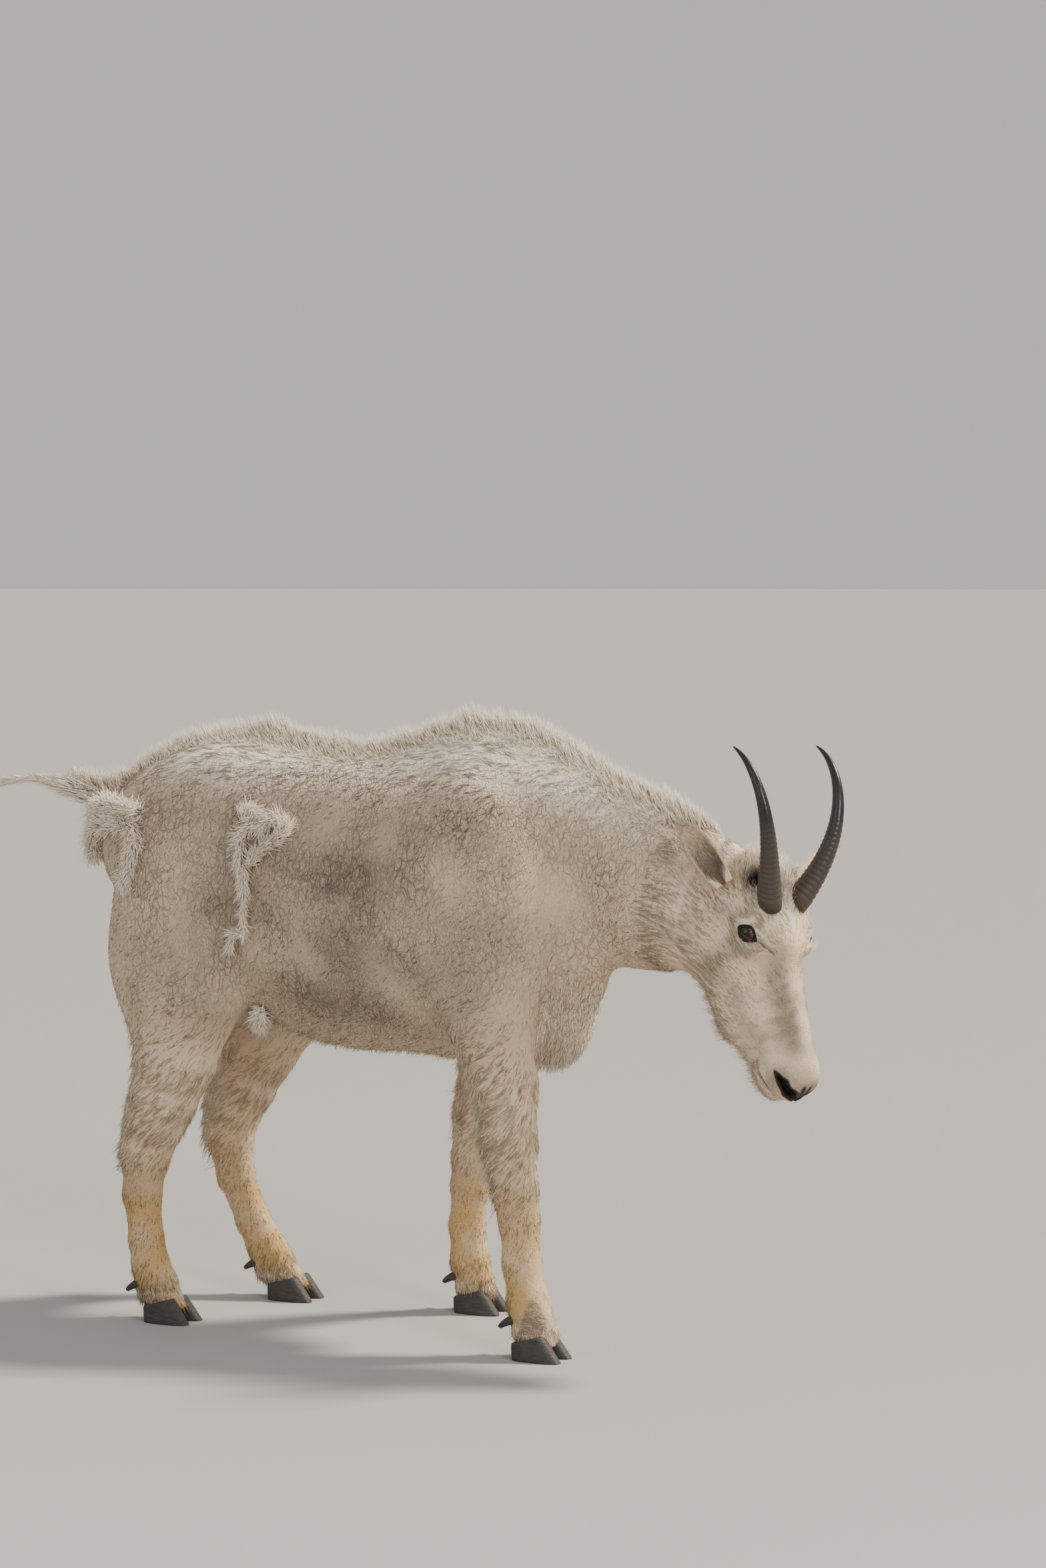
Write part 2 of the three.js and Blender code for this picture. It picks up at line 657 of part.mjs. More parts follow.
// A point on the horn's middle line, in the head's frame, for the horn on the left.
function hornPath(count) {
  const points = [HORN.base];
  for (let i = 0; i + 1 < count; i++) {
    const s = (i + 0.5) / (count - 1);
    const lean = deg(HORN.lean + HORN.curl[0] * s + HORN.curl[1] * s * s);
    const spread = deg(HORN.spread[0] + HORN.spread[1] * s);
    const step = HORN.length / (count - 1);
    const [x, y, z] = points[i];
    points.push([
      x - Math.sin(lean) * Math.cos(spread) * step,
      y + Math.sin(spread) * step,
      z + Math.cos(lean) * Math.cos(spread) * step,
    ]);
  }
  return points;
}
const HORN_ROOT = 14; // how far along its line the horn leaves the hair
function hornCut(sign) {
  const points = hornPath(60);
  const k = Math.round((HORN_ROOT / HORN.length) * 59);
  const mirror = ([x, y, z]) => [x, sign * y, z];
  const at = mirror(points[k]);
  const next = mirror(points[k + 1]);
  const normal = headAxis(next.map((c, i) => c - at[i]));
  return { normal: normal.toArray(), point: headPoint3(at) };
}
function makeHorn(sign) {
  const count = 26;
  const points = hornPath(count);
  const stations = points.map(([x, y, z], i) => {
    const s = i / (count - 1);
    const taper = HORN.radius * (1 - s) ** 0.72 * (1 - 0.12 * Math.sin(Math.PI * s)) + 0.7;
    const ridge = s < 0.5 && i % 2 ? 0.9 * (1 - s) : 0;
    return { point: [x, sign * y, z], wide: taper * 0.94 + ridge, thick: taper * 1.04 + ridge };
  });
  const solid = fromHead(tube(stations, SIDE, 10));
  const { normal, point } = hornCut(sign);
  return keep(solid, normal, point);
}

// Ears: a leaf folded into a cup, its thickness a few millimetres
function earFrame(sign) {
  const side = sign < 0 ? EAR.right : EAR.left;
  const direction = new THREE.Vector3(...side.way).normalize();
  const open = new THREE.Vector3(...side.open);
  open.addScaledVector(direction, -open.dot(direction)).normalize();
  return { direction, open, across: new THREE.Vector3().crossVectors(direction, open) };
}
function makeEar(sign) {
  const { direction, open, across } = earFrame(sign);
  const base = new THREE.Vector3(EAR.base[0], sign * EAR.base[1], EAR.base[2]);
  const rows = 9;
  const half = 6;
  const rings = Array.from({ length: rows }, (_, row) => {
    const s = row / (rows - 1);
    const width = (EAR.width / 2) * (0.62 + 1.1 * s) * (1 - s ** 2.2) ** 0.8 + 1.2;
    const bend = lerp(1.9, 0.55, s);
    const wall = lerp(3.2, 1.4, s);
    const fill = Math.max(0, 1 - s * 5);
    const middle = base.clone().addScaledVector(direction, EAR.length * s);
    middle.addScaledVector(open, -6 * s * s);
    const radius = width / Math.sin(Math.min(bend, Math.PI / 2));
    const arc = (r, angle, lift) =>
      middle
        .clone()
        .addScaledVector(across, Math.sin(angle) * r)
        .addScaledVector(open, radius * 0.55 - Math.cos(angle) * r + lift);
    const outer = Array.from({ length: half }, (_, i) => arc(radius, bend * ((2 * i) / (half - 1) - 1), 0));
    const inner = Array.from({ length: half }, (_, i) => {
      const angle = bend * (1 - (2 * i) / (half - 1)) * 0.92;
      return arc(Math.max(radius - wall, 0.5) * (1 - fill * 0.75), angle, fill * 2);
    });
    return [...outer, ...inner].map((p) => p.applyMatrix4(headFrame).toArray());
  });
  const centre = (ring) => [0, 1, 2].map((k) => ring.reduce((sum, p) => sum + p[k], 0) / ring.length);
  const solid = loft(rings, centre(rings[0]), centre(rings[rows - 1]));
  const { normal, point } = earCut(sign);
  return largest(keep(solid, normal, point));
}
const EAR_ROOT = 22;
function earCut(sign) {
  const { direction } = earFrame(sign);
  const point = new THREE.Vector3(EAR.base[0], sign * EAR.base[1], EAR.base[2]).addScaledVector(
    direction,
    EAR_ROOT,
  );
  return { normal: headAxis(direction.toArray()).toArray(), point: headPoint3(point.toArray()) };
}

// Eyes
const eyeCentre = (sign) => [EYE.centre[0], sign * EYE.centre[1], EYE.centre[2]];

// The eye's own frame: along the lids, across them and out of the eye.
function eyeFrame(sign) {
  const out = new THREE.Vector3(EYE.gaze[0], sign * EYE.gaze[1], EYE.gaze[2]).normalize();
  const low = new THREE.Vector3(1, 0, 0).addScaledVector(out, -out.x).normalize();
  const high = new THREE.Vector3().crossVectors(low, out).multiplyScalar(sign);
  const [c, s] = [Math.cos(deg(EYE.roll)), Math.sin(deg(EYE.roll))];
  const along = low.clone().multiplyScalar(c).addScaledVector(high, s);
  const across = high.multiplyScalar(c).addScaledVector(low, -s);
  return { out, along, across };
}
function fromEye(sign, u, w, v) {
  const { out, along, across } = eyeFrame(sign);
  return new THREE.Vector3(...eyeCentre(sign))
    .addScaledVector(along, u)
    .addScaledVector(across, w)
    .addScaledVector(out, v)
    .toArray();
}
function ball(centre, rx, ry = rx, rz = rx, across = 12, down = 8) {
  const geometry = new THREE.SphereGeometry(1, across, down).scale(rx, ry, rz).translate(...centre);
  return fromGeometry(geometry);
}

// Lids: a ridge over the eye and one under it, which meet at its corners
const LID = { length: 36, upper: 12, lower: 10.5, radius: 3 };
function lids(sign) {
  const count = 7;
  return [LID.upper, -LID.lower].map((height) => {
    const stations = Array.from({ length: count }, (_, i) => {
      const t = i / (count - 1);
      const u = (t - 0.5) * LID.length;
      const w = height * Math.sin(Math.PI * t);
      const ride = EYE.radius + 1;
      const v = Math.sqrt(Math.max(ride * ride - u * u - w * w, 20));
      const size = LID.radius * lerp(0.5, 1, Math.sin(Math.PI * t));
      return { point: fromEye(sign, u, w, v), wide: size, thick: size };
    });
    return tube(stations, eyeFrame(sign).out, 6);
  });
}
// The opening between the lids
function socket(sign) {
  const stations = [0.3, 1.3, 2.4].map((s) => ({
    point: fromEye(sign, 0, 0, EYE.radius * s),
    wide: LID.length * 0.43 * Math.max(1, s * 0.9),
    thick: LID.upper * 0.92 * Math.max(1, s * 0.9),
  }));
  return tube(stations, eyeFrame(sign).along, 12);
}

// Nostrils: slanting commas that come together above the lip
const NOSTRIL = [
  { point: [217, 4, -67], wide: 2.2 },
  { point: [211, 18, -57], wide: 5 },
  { point: [199, 30, -50], wide: 5 },
  { point: [184, 38, -48], wide: 2 },
];
function nostril(sign) {
  const stations = NOSTRIL.map(({ point: [x, y, z], wide }) => ({
    point: [x, sign * y, z],
    wide,
    thick: wide,
  }));
  return tube(stations, SIDE, 6);
}

// The line of the mouth, from one corner round the nose to the other, and the lips along it
const MOUTH = { centre: [150, 0, -88], corner: 100, rise: 8, front: -84, lip: 4.2, groove: 2.3 };
function mouthPath(lift) {
  const count = 11;
  return Array.from({ length: count }, (_, i) => {
    const angle = deg(lerp(-MOUTH.corner, MOUTH.corner, i / (count - 1)));
    const z = MOUTH.front - MOUTH.rise * Math.abs(angle / deg(MOUTH.corner)) + lift;
    const from = headPoint3([MOUTH.centre[0], MOUTH.centre[1], z]);
    const way = headAxis([Math.cos(angle), Math.sin(angle), 0]).toArray();
    return new THREE.Vector3(...castRay(from, way, anywhere)).applyMatrix4(toHead);
  });
}
function mouthTube(lift, inset, radius) {
  const path = mouthPath(lift);
  const stations = path.map((p, i) => {
    const out = p.clone().sub(new THREE.Vector3(...MOUTH.centre)).setZ(0).normalize();
    const thin = 0.4 + 0.6 * Math.sin((Math.PI * i) / (path.length - 1)) ** 0.5;
    return {
      point: p.addScaledVector(out, -inset).toArray(),
      wide: radius * thin,
      thick: radius * thin,
    };
  });
  return tube(stations, new THREE.Vector3(0, 0, 1), 5);
}

// Hair under the jaw
function jawLocks() {
  return Array.from({ length: JAW.locks }, (_, i) => {
    const t = i / (JAW.locks - 1);
    const y = (i % 2 ? 1 : -1) * lerp(6, 22, 1 - t);
    const from = headPoint3([lerp(-34, 168, t), y, -80]);
    const down = headAxis([0, 0, -1]).toArray();
    const root = castRay(from, down, anywhere);
    const fall = headAxis([-0.9, 0, -0.1]).toArray();
    const length = JAW.length * random(0.75, 1.1) * lerp(1, 0.6, t);
    const spec = { root, out: down, fall, length, wide: JAW.wide, thick: JAW.thick };
    return lock({ ...spec, across: headAxis([0, 1, 0]) });
  });
}

function makeHead() {
  const forward = headAxis([1, 0, 0]);
  const side = headAxis([0, 1, 0]);
  const up = headAxis([0, 0, 1]);
  const region = beyond(headNormal, headPoint);
  const count = 20;
  const centres = Array.from({ length: count }, (_, i) => {
    const x = lerp(-74, 178, i / (count - 1));
    return headPoint3([x, 0, lerp(-38, -62, (x + 74) / 252)]);
  });
  let solid = castShell(centres, side, up, region, { around: 28, dome: 3 });
  solid = keep(solid, headNormal, headPoint);
  for (const sign of [-1, 1]) {
    const ear = tube(
      [0, 10, 20, 30].map((s) => ({
        point: new THREE.Vector3(EAR.base[0], sign * EAR.base[1], EAR.base[2])
          .addScaledVector(earFrame(sign).direction, s - 12)
          .toArray(),
        wide: EAR.stem,
        thick: EAR.stem,
      })),
      SIDE,
      10,
    );
    const earPlane = earCut(sign);
    solid = solid.add(keep(fromHead(ear), minus(earPlane.normal), earPlane.point));
    solid = solid.subtract(fromHead(ball(eyeCentre(sign), EYE.radius + GAP)));
    solid = solid.subtract(fromHead(socket(sign)));
    solid = fuse(solid, lids(sign).map(fromHead));
    solid = solid.subtract(fromHead(ball(eyeCentre(sign), EYE.radius + GAP)));
    solid = solid.subtract(fromHead(nostril(sign)));
  }
  solid = fuse(solid, [fromHead(mouthTube(5, 3, MOUTH.lip)), fromHead(mouthTube(-5, 3, MOUTH.lip))]);
  solid = solid.subtract(fromHead(mouthTube(0, 0, MOUTH.groove)));
  const mine = (p) => !before(headNormal, headPoint)(p);
  solid = fuse(solid, [...crestLocks(mine), ...jawLocks()]);
  solid = keep(solid, headNormal, headPoint);
  return largest(solid);
}

add("torso", makeTorso(), coat);
add("neck", makeNeck(), coat);
add("head", makeHead(), coat);
add("tail", makeTail(), coat);
for (const leg of legs) {
  makeLeg(leg);
  makeHooves(leg);
}
for (const [side, sign] of [["right", -1], ["left", 1]]) {
  add(`horn_${side}`, makeHorn(sign), hornBlack);
  add(`ear_${side}`, makeEar(sign), coat);
  add(`eye_${side}`, fromHead(ball(eyeCentre(sign), EYE.radius)), eyeBrown);
}

// The model's own origin is on the floor, below the middle of its box.
const extent = new THREE.Box3().setFromObject(goat, true);
goat.position.set(-(extent.min.x + extent.max.x) / 2, -(extent.min.y + extent.max.y) / 2, 0);

export default goat;
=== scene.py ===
# %% [markdown]
# A mountain goat in its short summer coat, standing with its head low and turned to its right.
# The body is one field of soft masses. The skin is the surface of that field, and the coat is hundreds
# of thousands of small solid tufts grown on it. A particle system could grow the hair too, but solid
# tufts are plain meshes, so they can be exported and stay the same on every run.
# Lengths are millimetres in the goat's working frame, and to_row turns them into the model's metres.

# %% Load the frame
import math

import bmesh
import bpy
import numpy as np
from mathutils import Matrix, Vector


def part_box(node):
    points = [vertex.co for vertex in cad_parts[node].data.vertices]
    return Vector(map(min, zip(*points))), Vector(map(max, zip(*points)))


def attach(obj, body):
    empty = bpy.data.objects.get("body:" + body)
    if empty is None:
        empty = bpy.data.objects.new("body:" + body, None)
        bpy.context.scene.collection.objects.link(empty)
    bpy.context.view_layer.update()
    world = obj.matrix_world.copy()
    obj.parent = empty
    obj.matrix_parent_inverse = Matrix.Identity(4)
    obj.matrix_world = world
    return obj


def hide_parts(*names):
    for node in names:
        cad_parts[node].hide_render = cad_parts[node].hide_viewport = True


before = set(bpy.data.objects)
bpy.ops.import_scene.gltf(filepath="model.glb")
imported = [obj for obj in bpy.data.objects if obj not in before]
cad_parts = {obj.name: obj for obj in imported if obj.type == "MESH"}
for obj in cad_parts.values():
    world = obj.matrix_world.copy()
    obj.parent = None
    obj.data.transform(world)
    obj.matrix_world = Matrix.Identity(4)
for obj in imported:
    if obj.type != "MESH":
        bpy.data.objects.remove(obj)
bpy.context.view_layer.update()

import openvdb
from mathutils import Matrix, Vector
from mathutils.kdtree import KDTree

rng = np.random.default_rng(11)
print("nodes:", len(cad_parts))

# %% [markdown]
# The head is turned and tilted, so it has its own frame: x runs to the nose, y to the goat's left and
# z out of the forehead. Both sides of the face can then be made by mirroring y.
# The packed model sits with its middle over the origin. The node of the right eye tells how far the
# working frame has to move to meet it, so the shift is measured and not typed in.

# %% Frames and sizes
HEAD_AT = np.array([472.0, -60.0, 611.0])
HEAD_TURN = (-2.0, 58.0, -31.0)  # roll, pitch and yaw in degrees
EYE = np.array([-10.0, 46.0, 10.0])  # the middle of the goat's left eyeball, in the head's frame
EYE_RADIUS = 17.0
GAZE = np.array([0.25, 0.83, 0.5])
LID_ROLL = 26.0


def turn(roll, pitch, yaw):
    r, p, y = (math.radians(v) for v in (roll, pitch, yaw))
    return np.array(Matrix.Rotation(y, 3, "Z") @ Matrix.Rotation(p, 3, "Y") @ Matrix.Rotation(r, 3, "X"))


HEAD_AXES = turn(*HEAD_TURN)


def from_head(points):
    return np.asarray(points, float) @ HEAD_AXES.T + HEAD_AT


def to_head(points):
    return (np.asarray(points, float) - HEAD_AT) @ HEAD_AXES


def eye_centre(side):
    return EYE * [1, side, 1]


low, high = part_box("eye_right")
SHIFT = np.array((low + high) / 2) - from_head(eye_centre(-1)) / 1000


def to_row(points):
    return np.asarray(points, float) / 1000 + SHIFT


print("working frame to model:", SHIFT.round(4))

# %% [markdown]
# The picture is taken from the goat's front right, from a little above its back, over five metres away.
# A long lens from that distance keeps the near and far legs almost the same size. Its place and tilt
# come from a scratch script that solved them from points of the photograph.

# %% Camera
CAMERA_AT = np.array([2362.3, -4953.9, 1116.7])
VIEW_TURN = 25.0  # how far the view is turned from looking straight across the goat
VIEW_DOWN = 3.078
SENSOR_HEIGHT, LENS = 36, 85
camera = bpy.data.objects.new("camera", bpy.data.cameras.new("camera"))
bpy.context.scene.collection.objects.link(camera)
camera.data.sensor_fit = "VERTICAL"
camera.data.sensor_height = SENSOR_HEIGHT
camera.data.lens = LENS
camera.location = to_row(CAMERA_AT)
camera.rotation_euler = (math.radians(90 - VIEW_DOWN), 0, math.radians(VIEW_TURN))
bpy.context.scene.camera = camera
print("camera:", camera.location[:])

# %% [markdown]
# Two small curves are used everywhere: a soft step from 0 to 1, and a bump that is 1 in its middle.
# They stand in for the falloff curves that a sculptor would set by hand.

# %% Soft steps


def smooth_step(a, b, x):
    t = np.clip((x - a) / (b - a), 0, 1)
    return t * t * (3 - 2 * t)


def bump(x):
    return np.exp(-x * x)


print("half way up a step:", smooth_step(0, 2, 1), "middle of a bump:", bump(0))

# %% [markdown]
# Each muscle group is an oval or a tapering limb, much as in a sculptor's first blocking-out.
# Every shape is a function that tells how far a point is from its surface, negative inside, like the
# signed distances behind metaballs. A smooth minimum joins two of them the way skin bridges muscles.

# %% Field shapes


def oval(centre, radii, tilt=0.0):
    centre, radii = np.array(centre, float), np.array(radii, float)
    c, s = math.cos(math.radians(tilt)), math.sin(math.radians(tilt))

    def shape(p):
        d = p - centre
        q = np.stack([c * d[:, 0] + s * d[:, 2], d[:, 1], c * d[:, 2] - s * d[:, 0]], 1) / radii
        k = np.linalg.norm(q, axis=1)
        return k * (k - 1) / np.maximum(np.linalg.norm(q / radii, axis=1), 1e-9)

    return shape


def limb(a, b, ra, rb, flat=1.0):
    squash = np.array([1, 1 / flat, 1])
    a, b = np.array(a, float) * squash, np.array(b, float) * squash
    ab = b - a

    def shape(p):
        q = p * squash - a
        t = np.clip(q @ ab / (ab @ ab), 0, 1)
        return np.linalg.norm(q - t[:, None] * ab, axis=1) - (ra + (rb - ra) * t)

    return shape


def paired(shape):
    return lambda p: shape(p * [1, 0, 1] + np.abs(p) * [0, 1, 0])


def in_head(shape):
    return lambda p: shape(to_head(p))


def blend(k, *shapes):
    def shape(p):
        d = shapes[0](p)
        for other in shapes[1:]:
            e = other(p)
            h = np.maximum(k - np.abs(d - e), 0) / k
            d = np.minimum(d, e) - h * h * k / 4
        return d

    return shape


print("inside an oval:", oval((0, 0, 0), (10, 10, 10))(np.zeros((1, 3))))

# %% [markdown]
# Below the knee a goat's leg is only bone and tendon in dense hair, so a chain of tapering limbs fits it.
# Each leg is listed from the elbow or stifle down to the coronet: the height, the half thickness and how
# far forward the leg's middle stands. Left and right differ, because the goat is in mid-step.

# %% Legs
LEGS = {
    "foreleg": {
        "z": [470, 400, 315, 240, 198, 134, 80, 44, 12],
        "r": [70, 56, 47, 39, 35, 33, 35, 34, 31],
        "flat": 0.88,
        "right": ([60, 81, 86, 99, 107, 113, 124, 135, 144], (-112, -144)),
        "left": ([-32, -50, -74, -89, -96, -103, -100, -92, -86], (112, 137)),
    },
    "hindleg": {
        "z": [480, 400, 335, 300, 255, 190, 120, 84, 56, 14],
        "r": [85, 68, 57, 52, 45, 35, 32, 34, 36, 33],
        "flat": 0.84,
        "right": ([-468, -478, -500, -514, -528, -533, -524, -516, -504, -480], (-105, -128)),
        "left": ([-402, -448, -480, -497, -506, -496, -466, -446, -429, -396], (98, 108)),
    },
}


def leg_path(kind, side):
    leg = LEGS[kind]
    xs, (y_top, y_foot) = leg[side]
    z = np.array(leg["z"], float)
    t = (z - z[-1]) / (z[0] - z[-1])
    return np.stack([np.array(xs, float), y_foot + (y_top - y_foot) * t, z], 1)


def leg_mass(kind, side):
    leg, path = LEGS[kind], leg_path(kind, side)
    bones = zip(path, path[1:], leg["r"], leg["r"][1:])
    return blend(12, *(limb(a, b, ra, rb, leg["flat"]) for a, b, ra, rb in bones))


leg_names = [(kind, side) for kind in LEGS for side in ("right", "left")]
leg_masses = [leg_mass(kind, side) for kind, side in leg_names]
print("legs:", leg_names)

# %% [markdown]
# A climbing animal's trunk is deep and narrow, with high withers. The barrel, chest, withers, loin, rump
# and brisket are ovals. The crest's core is a low ridge along the back, for the brush to stand on.

# %% Trunk masses
body = blend(
    64,
    oval((-190, 0, 640), (330, 168, 230)),
    oval((6, 0, 648), (200, 146, 246)),
    oval((0, 0, 792), (175, 52, 112)),
    oval((-425, 0, 728), (210, 140, 165)),
    oval((-545, 0, 712), (112, 98, 106)),
    oval((124, 0, 504), (70, 68, 98)),
)
shoulders = blend(40, oval((30, -96, 640), (100, 56, 190), 12), oval((0, 96, 640), (100, 56, 190), 8))
thighs = blend(30, oval((-478, -94, 580), (128, 64, 178), -8), oval((-440, 92, 580), (128, 64, 178), -8))
neck = blend(
    50,
    limb((110, 0, 715), (250, -6, 682), 152, 122, 0.62),
    limb((250, -6, 682), (372, -32, 652), 120, 92, 0.66),
)
dock = limb((-600, 0, 775), (-720, 0, 799), 34, 19, 0.9)
CREST_POINTS = [
    (-610, 0, 800), (-500, 0, 855), (-366, 0, 890), (-180, 0, 852), (-30, 0, 896),
    (70, 0, 882), (195, -4, 818), (304, -16, 770), (395, -34, 735),
]
crest_core = blend(30, *(limb(a, b, 13, 13, 0.9) for a, b in zip(CREST_POINTS, CREST_POINTS[1:])))
trunk = blend(44, body, shoulders, thighs, neck, dock, *leg_masses)
print("crest points:", len(CREST_POINTS))

# %% [markdown]
# The head is long and wedge-shaped: a braincase, brow ridges, the bridge of the nose, two jaw lines and a
# blunt muzzle. Paired masses are made once and mirrored in the head's own frame.

# %% Head masses
skull = blend(
    26,
    oval((-62, 0, 0), (70, 58, 60)),
    oval((-22, 0, 20), (58, 46, 34)),
    paired(oval((-4, 46, 8), (32, 20, 24))),
    limb((10, 0, 4), (178, 0, -30), 34, 23, 0.9),
    paired(limb((10, 22, -44), (165, 12, -52), 42, 25)),
    paired(limb((-66, 24, -92), (70, 18, -104), 40, 31)),
    limb((70, 0, -104), (176, 0, -98), 36, 20, 0.95),
    paired(oval((-38, 36, -62), (62, 26, 60))),
)
muzzle = blend(
    9,
    oval((186, 0, -50), (32, 33, 32)),
    oval((186, 0, -72), (30, 29, 16)),
    oval((168, 0, -98), (30, 23, 18)),
)
head = in_head(blend(18, skull, muzzle))
coat_field = blend(34, blend(24, trunk, crest_core), head)
HEAD_BORDER = np.array([322, -8, 650])
HEAD_BORDER_WAY = np.array([0.90, -0.40, -0.17])
print("depth in the brain case:", coat_field(from_head([(-62, 0, 0)])).round())

# %% [markdown]
# The field is the outline of the coat. The skin lies deeper, by the depth of the hair: least on the face,
# most on the chest. Inside the hooves it simply ends, because claws and not skin meet the ground.

# %% Skin depth
COAT_DEPTH, FACE_THINNER, CHEST_DEEPER = 6, 3.5, 21
SKIN_END = 20  # height at which the skin ends inside the hooves


def head_share(p):
    """1 on the head, 0 on the body, with a soft border across the neck."""
    ahead = (p - HEAD_BORDER) @ HEAD_BORDER_WAY
    return np.clip(ahead / 90 + 0.5, 0, 1)


def skin_field(p):
    """The coat's outline, less the coat's depth, which is greatest on the chest and least on the head."""
    chest = bump((p[:, 0] - 165) / 60) * bump((p[:, 2] - 475) / 85)
    depth = COAT_DEPTH - FACE_THINNER * head_share(p) + CHEST_DEEPER * chest
    return np.maximum(coat_field(p) + depth, SKIN_END - p[:, 2])


print("share of the head at the nose:", head_share(from_head([(200, 0, -50)])))

# %% [markdown]
# A field becomes a mesh by sampling it on a grid, as a Volume to Mesh modifier does. Sampling every cell
# finely would be slow, so a coarse grid comes first and only the cells near the surface are refined.
# OpenVDB turns the samples into quads, and settle then moves each vertex almost exactly onto it.

# %% Skin surface
GRID = 6.4
lo, hi = np.array([-760.0, -230, -20]), np.array([600.0, 230, 960])


def sample_grid(field, step, band):
    coarse_step = step * 3
    coarse_n = np.ceil((hi - lo) / coarse_step).astype(int) + 1
    n = (coarse_n - 1) * 3 + 1
    index = np.stack(np.meshgrid(*(np.arange(k) for k in coarse_n), indexing="ij"), -1).reshape(-1, 3)
    coarse = field(lo + index * coarse_step).reshape(coarse_n)
    fine = np.repeat(np.repeat(np.repeat(coarse, 3, 0), 3, 1), 3, 2)[1 : n[0] + 1, 1 : n[1] + 1, 1 : n[2] + 1]
    near = np.argwhere(np.abs(fine) < band)
    fine[tuple(near.T)] = field(lo + near * step)
    return fine.astype(np.float32)


samples = sample_grid(skin_field, GRID, GRID * 4)
grid = openvdb.FloatGrid()
grid.copyFromArray(samples)
points, quads = grid.convertToQuads(isovalue=0.0)
points = lo + np.array(points, float) * GRID
print("skin grid:", samples.shape, "points:", len(points), "quads:", len(quads))


def settle(p, field, rounds=2, step=0.5):
    """Moves points along the field's slope until they lie on its surface."""
    for _ in range(rounds):
        value = field(p)
        slope = np.stack([field(p + e) - value for e in np.eye(3) * step], 1) / step
        p = p - slope * (value / np.maximum((slope**2).sum(1), 0.05))[:, None]
    return p


# %% [markdown]
# Every plain mesh is made by one helper from vertices and faces, and read back by another.
# foreach_get and foreach_set move all coordinates at once, which is far faster than a loop.

# %% Mesh helpers


def make_mesh(name, verts, faces, smooth=True):
    mesh = bpy.data.meshes.new(name)
    mesh.from_pydata([tuple(v) for v in verts], [], [tuple(int(i) for i in f) for f in faces])
    mesh.polygons.foreach_set("use_smooth", [smooth] * len(mesh.polygons))
    mesh.update()
    obj = bpy.data.objects.new(name, mesh)
    bpy.context.scene.collection.objects.link(obj)
    return obj


def coordinates(mesh):
    co = np.empty(len(mesh.vertices) * 3)
    mesh.vertices.foreach_get("co", co)
    return co.reshape(-1, 3)


print("nodes with vertices:", sum(len(node.data.vertices) > 0 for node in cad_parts.values()))

# %% [markdown]
# A face needs finer quads than a flank. A Subdivision modifier would split the whole body, so only the
# edges on the head are cut, and those by the eyes, nose and mouth once more.

# %% Finer head


def near_features(p):
    q = to_head(p)
    eye = np.linalg.norm(q * [1, 0, 1] + np.abs(q) * [0, 1, 0] - EYE - GAZE * 16, axis=1) < 30
    nose = (q[:, 0] > 140) & (q[:, 2] < -22)
    return (eye | nose) & (head_share(p) > 0.9)


def split(obj, chosen):
    edit = bmesh.new()
    edit.from_mesh(obj.data)
    p = np.array([v.co for v in edit.verts])
    mask = chosen(p)
    edges = [e for e in edit.edges if mask[e.verts[0].index] and mask[e.verts[1].index]]
    bmesh.ops.subdivide_edges(edit, edges=edges, cuts=1, use_grid_fill=True)
    bmesh.ops.triangulate(edit, faces=[f for f in edit.faces if len(f.verts) > 4])
    edit.to_mesh(obj.data)
    edit.free()


skin = make_mesh("skin", points, quads)
split(skin, lambda p: head_share(p) > 0.6)
split(skin, lambda p: head_share(p) > 0.8)
split(skin, near_features)
surface = settle(coordinates(skin.data), skin_field)
print("skin vertices:", len(surface))

# %% [markdown]
# Lids wrap the eyeball like a slit in a tight cloth. They could be sculpted, but measured round the ball
# they are a formula: inside an almond the skin is pressed back behind the eye, and round it is a rim.

# %% Eyelids
LID_LOW = np.array([1.0, 0, 0]) - GAZE * GAZE[0]
LID_LOW /= np.linalg.norm(LID_LOW)
LID_HIGH = np.cross(LID_LOW, GAZE)
LID_OPEN, LID_ABOVE, LID_BELOW = 19.5, 13.0, 11.5  # half length and the half heights of the opening
LID_COS, LID_SIN = math.cos(math.radians(LID_ROLL)), math.sin(math.radians(LID_ROLL))
LID_AXES = np.stack([LID_COS * LID_LOW + LID_SIN * LID_HIGH, LID_COS * LID_HIGH - LID_SIN * LID_LOW, GAZE], 1)


def almond(q):
    """1 on the edge of the lids, measured round the eyeball from the middle of the opening."""
    u, w, v = ((q * [1, 0, 1] + np.abs(q) * [0, 1, 0] - EYE) @ LID_AXES).T
    ahead = np.maximum(v, 1.0)
    along, across = 20 * np.arctan2(u, ahead), 20 * np.arctan2(w, ahead)
    height = np.where(across > 0, LID_ABOVE, LID_BELOW) * (1 - 0.3 * np.clip(along / 20, -1, 1) ** 2)
    return np.where((v > 1) & (np.abs(u) < 60), np.hypot(along / LID_OPEN, across / height), 9.0)


def shape_lids(q, on_head):
    """Presses the skin round each eyeball into lids."""
    centre = EYE * np.stack([np.ones(len(q)), np.where(q[:, 1] < 0, -1, 1), np.ones(len(q))], 1)
    arm = q - centre
    reach = np.linalg.norm(arm, axis=1)
    e = almond(q)
    rim = 19.2 + 1.3 * bump((e - 0.98) / 0.13)
    lid = np.where(e < 0.86, 14.5 + 4.6 * smooth_step(0.72, 0.82, e), rim)
    weight = (1 - smooth_step(1.15, 2.1, e)) * on_head
    fold = 1.1 * bump((e - 1.5) / 0.12) * weight
    target = reach + (lid - reach) * weight - fold
    return centre + arm * (target / np.maximum(reach, 1e-6))[:, None]


print("almond at the gaze:", almond(EYE[None] + GAZE * EYE_RADIUS))

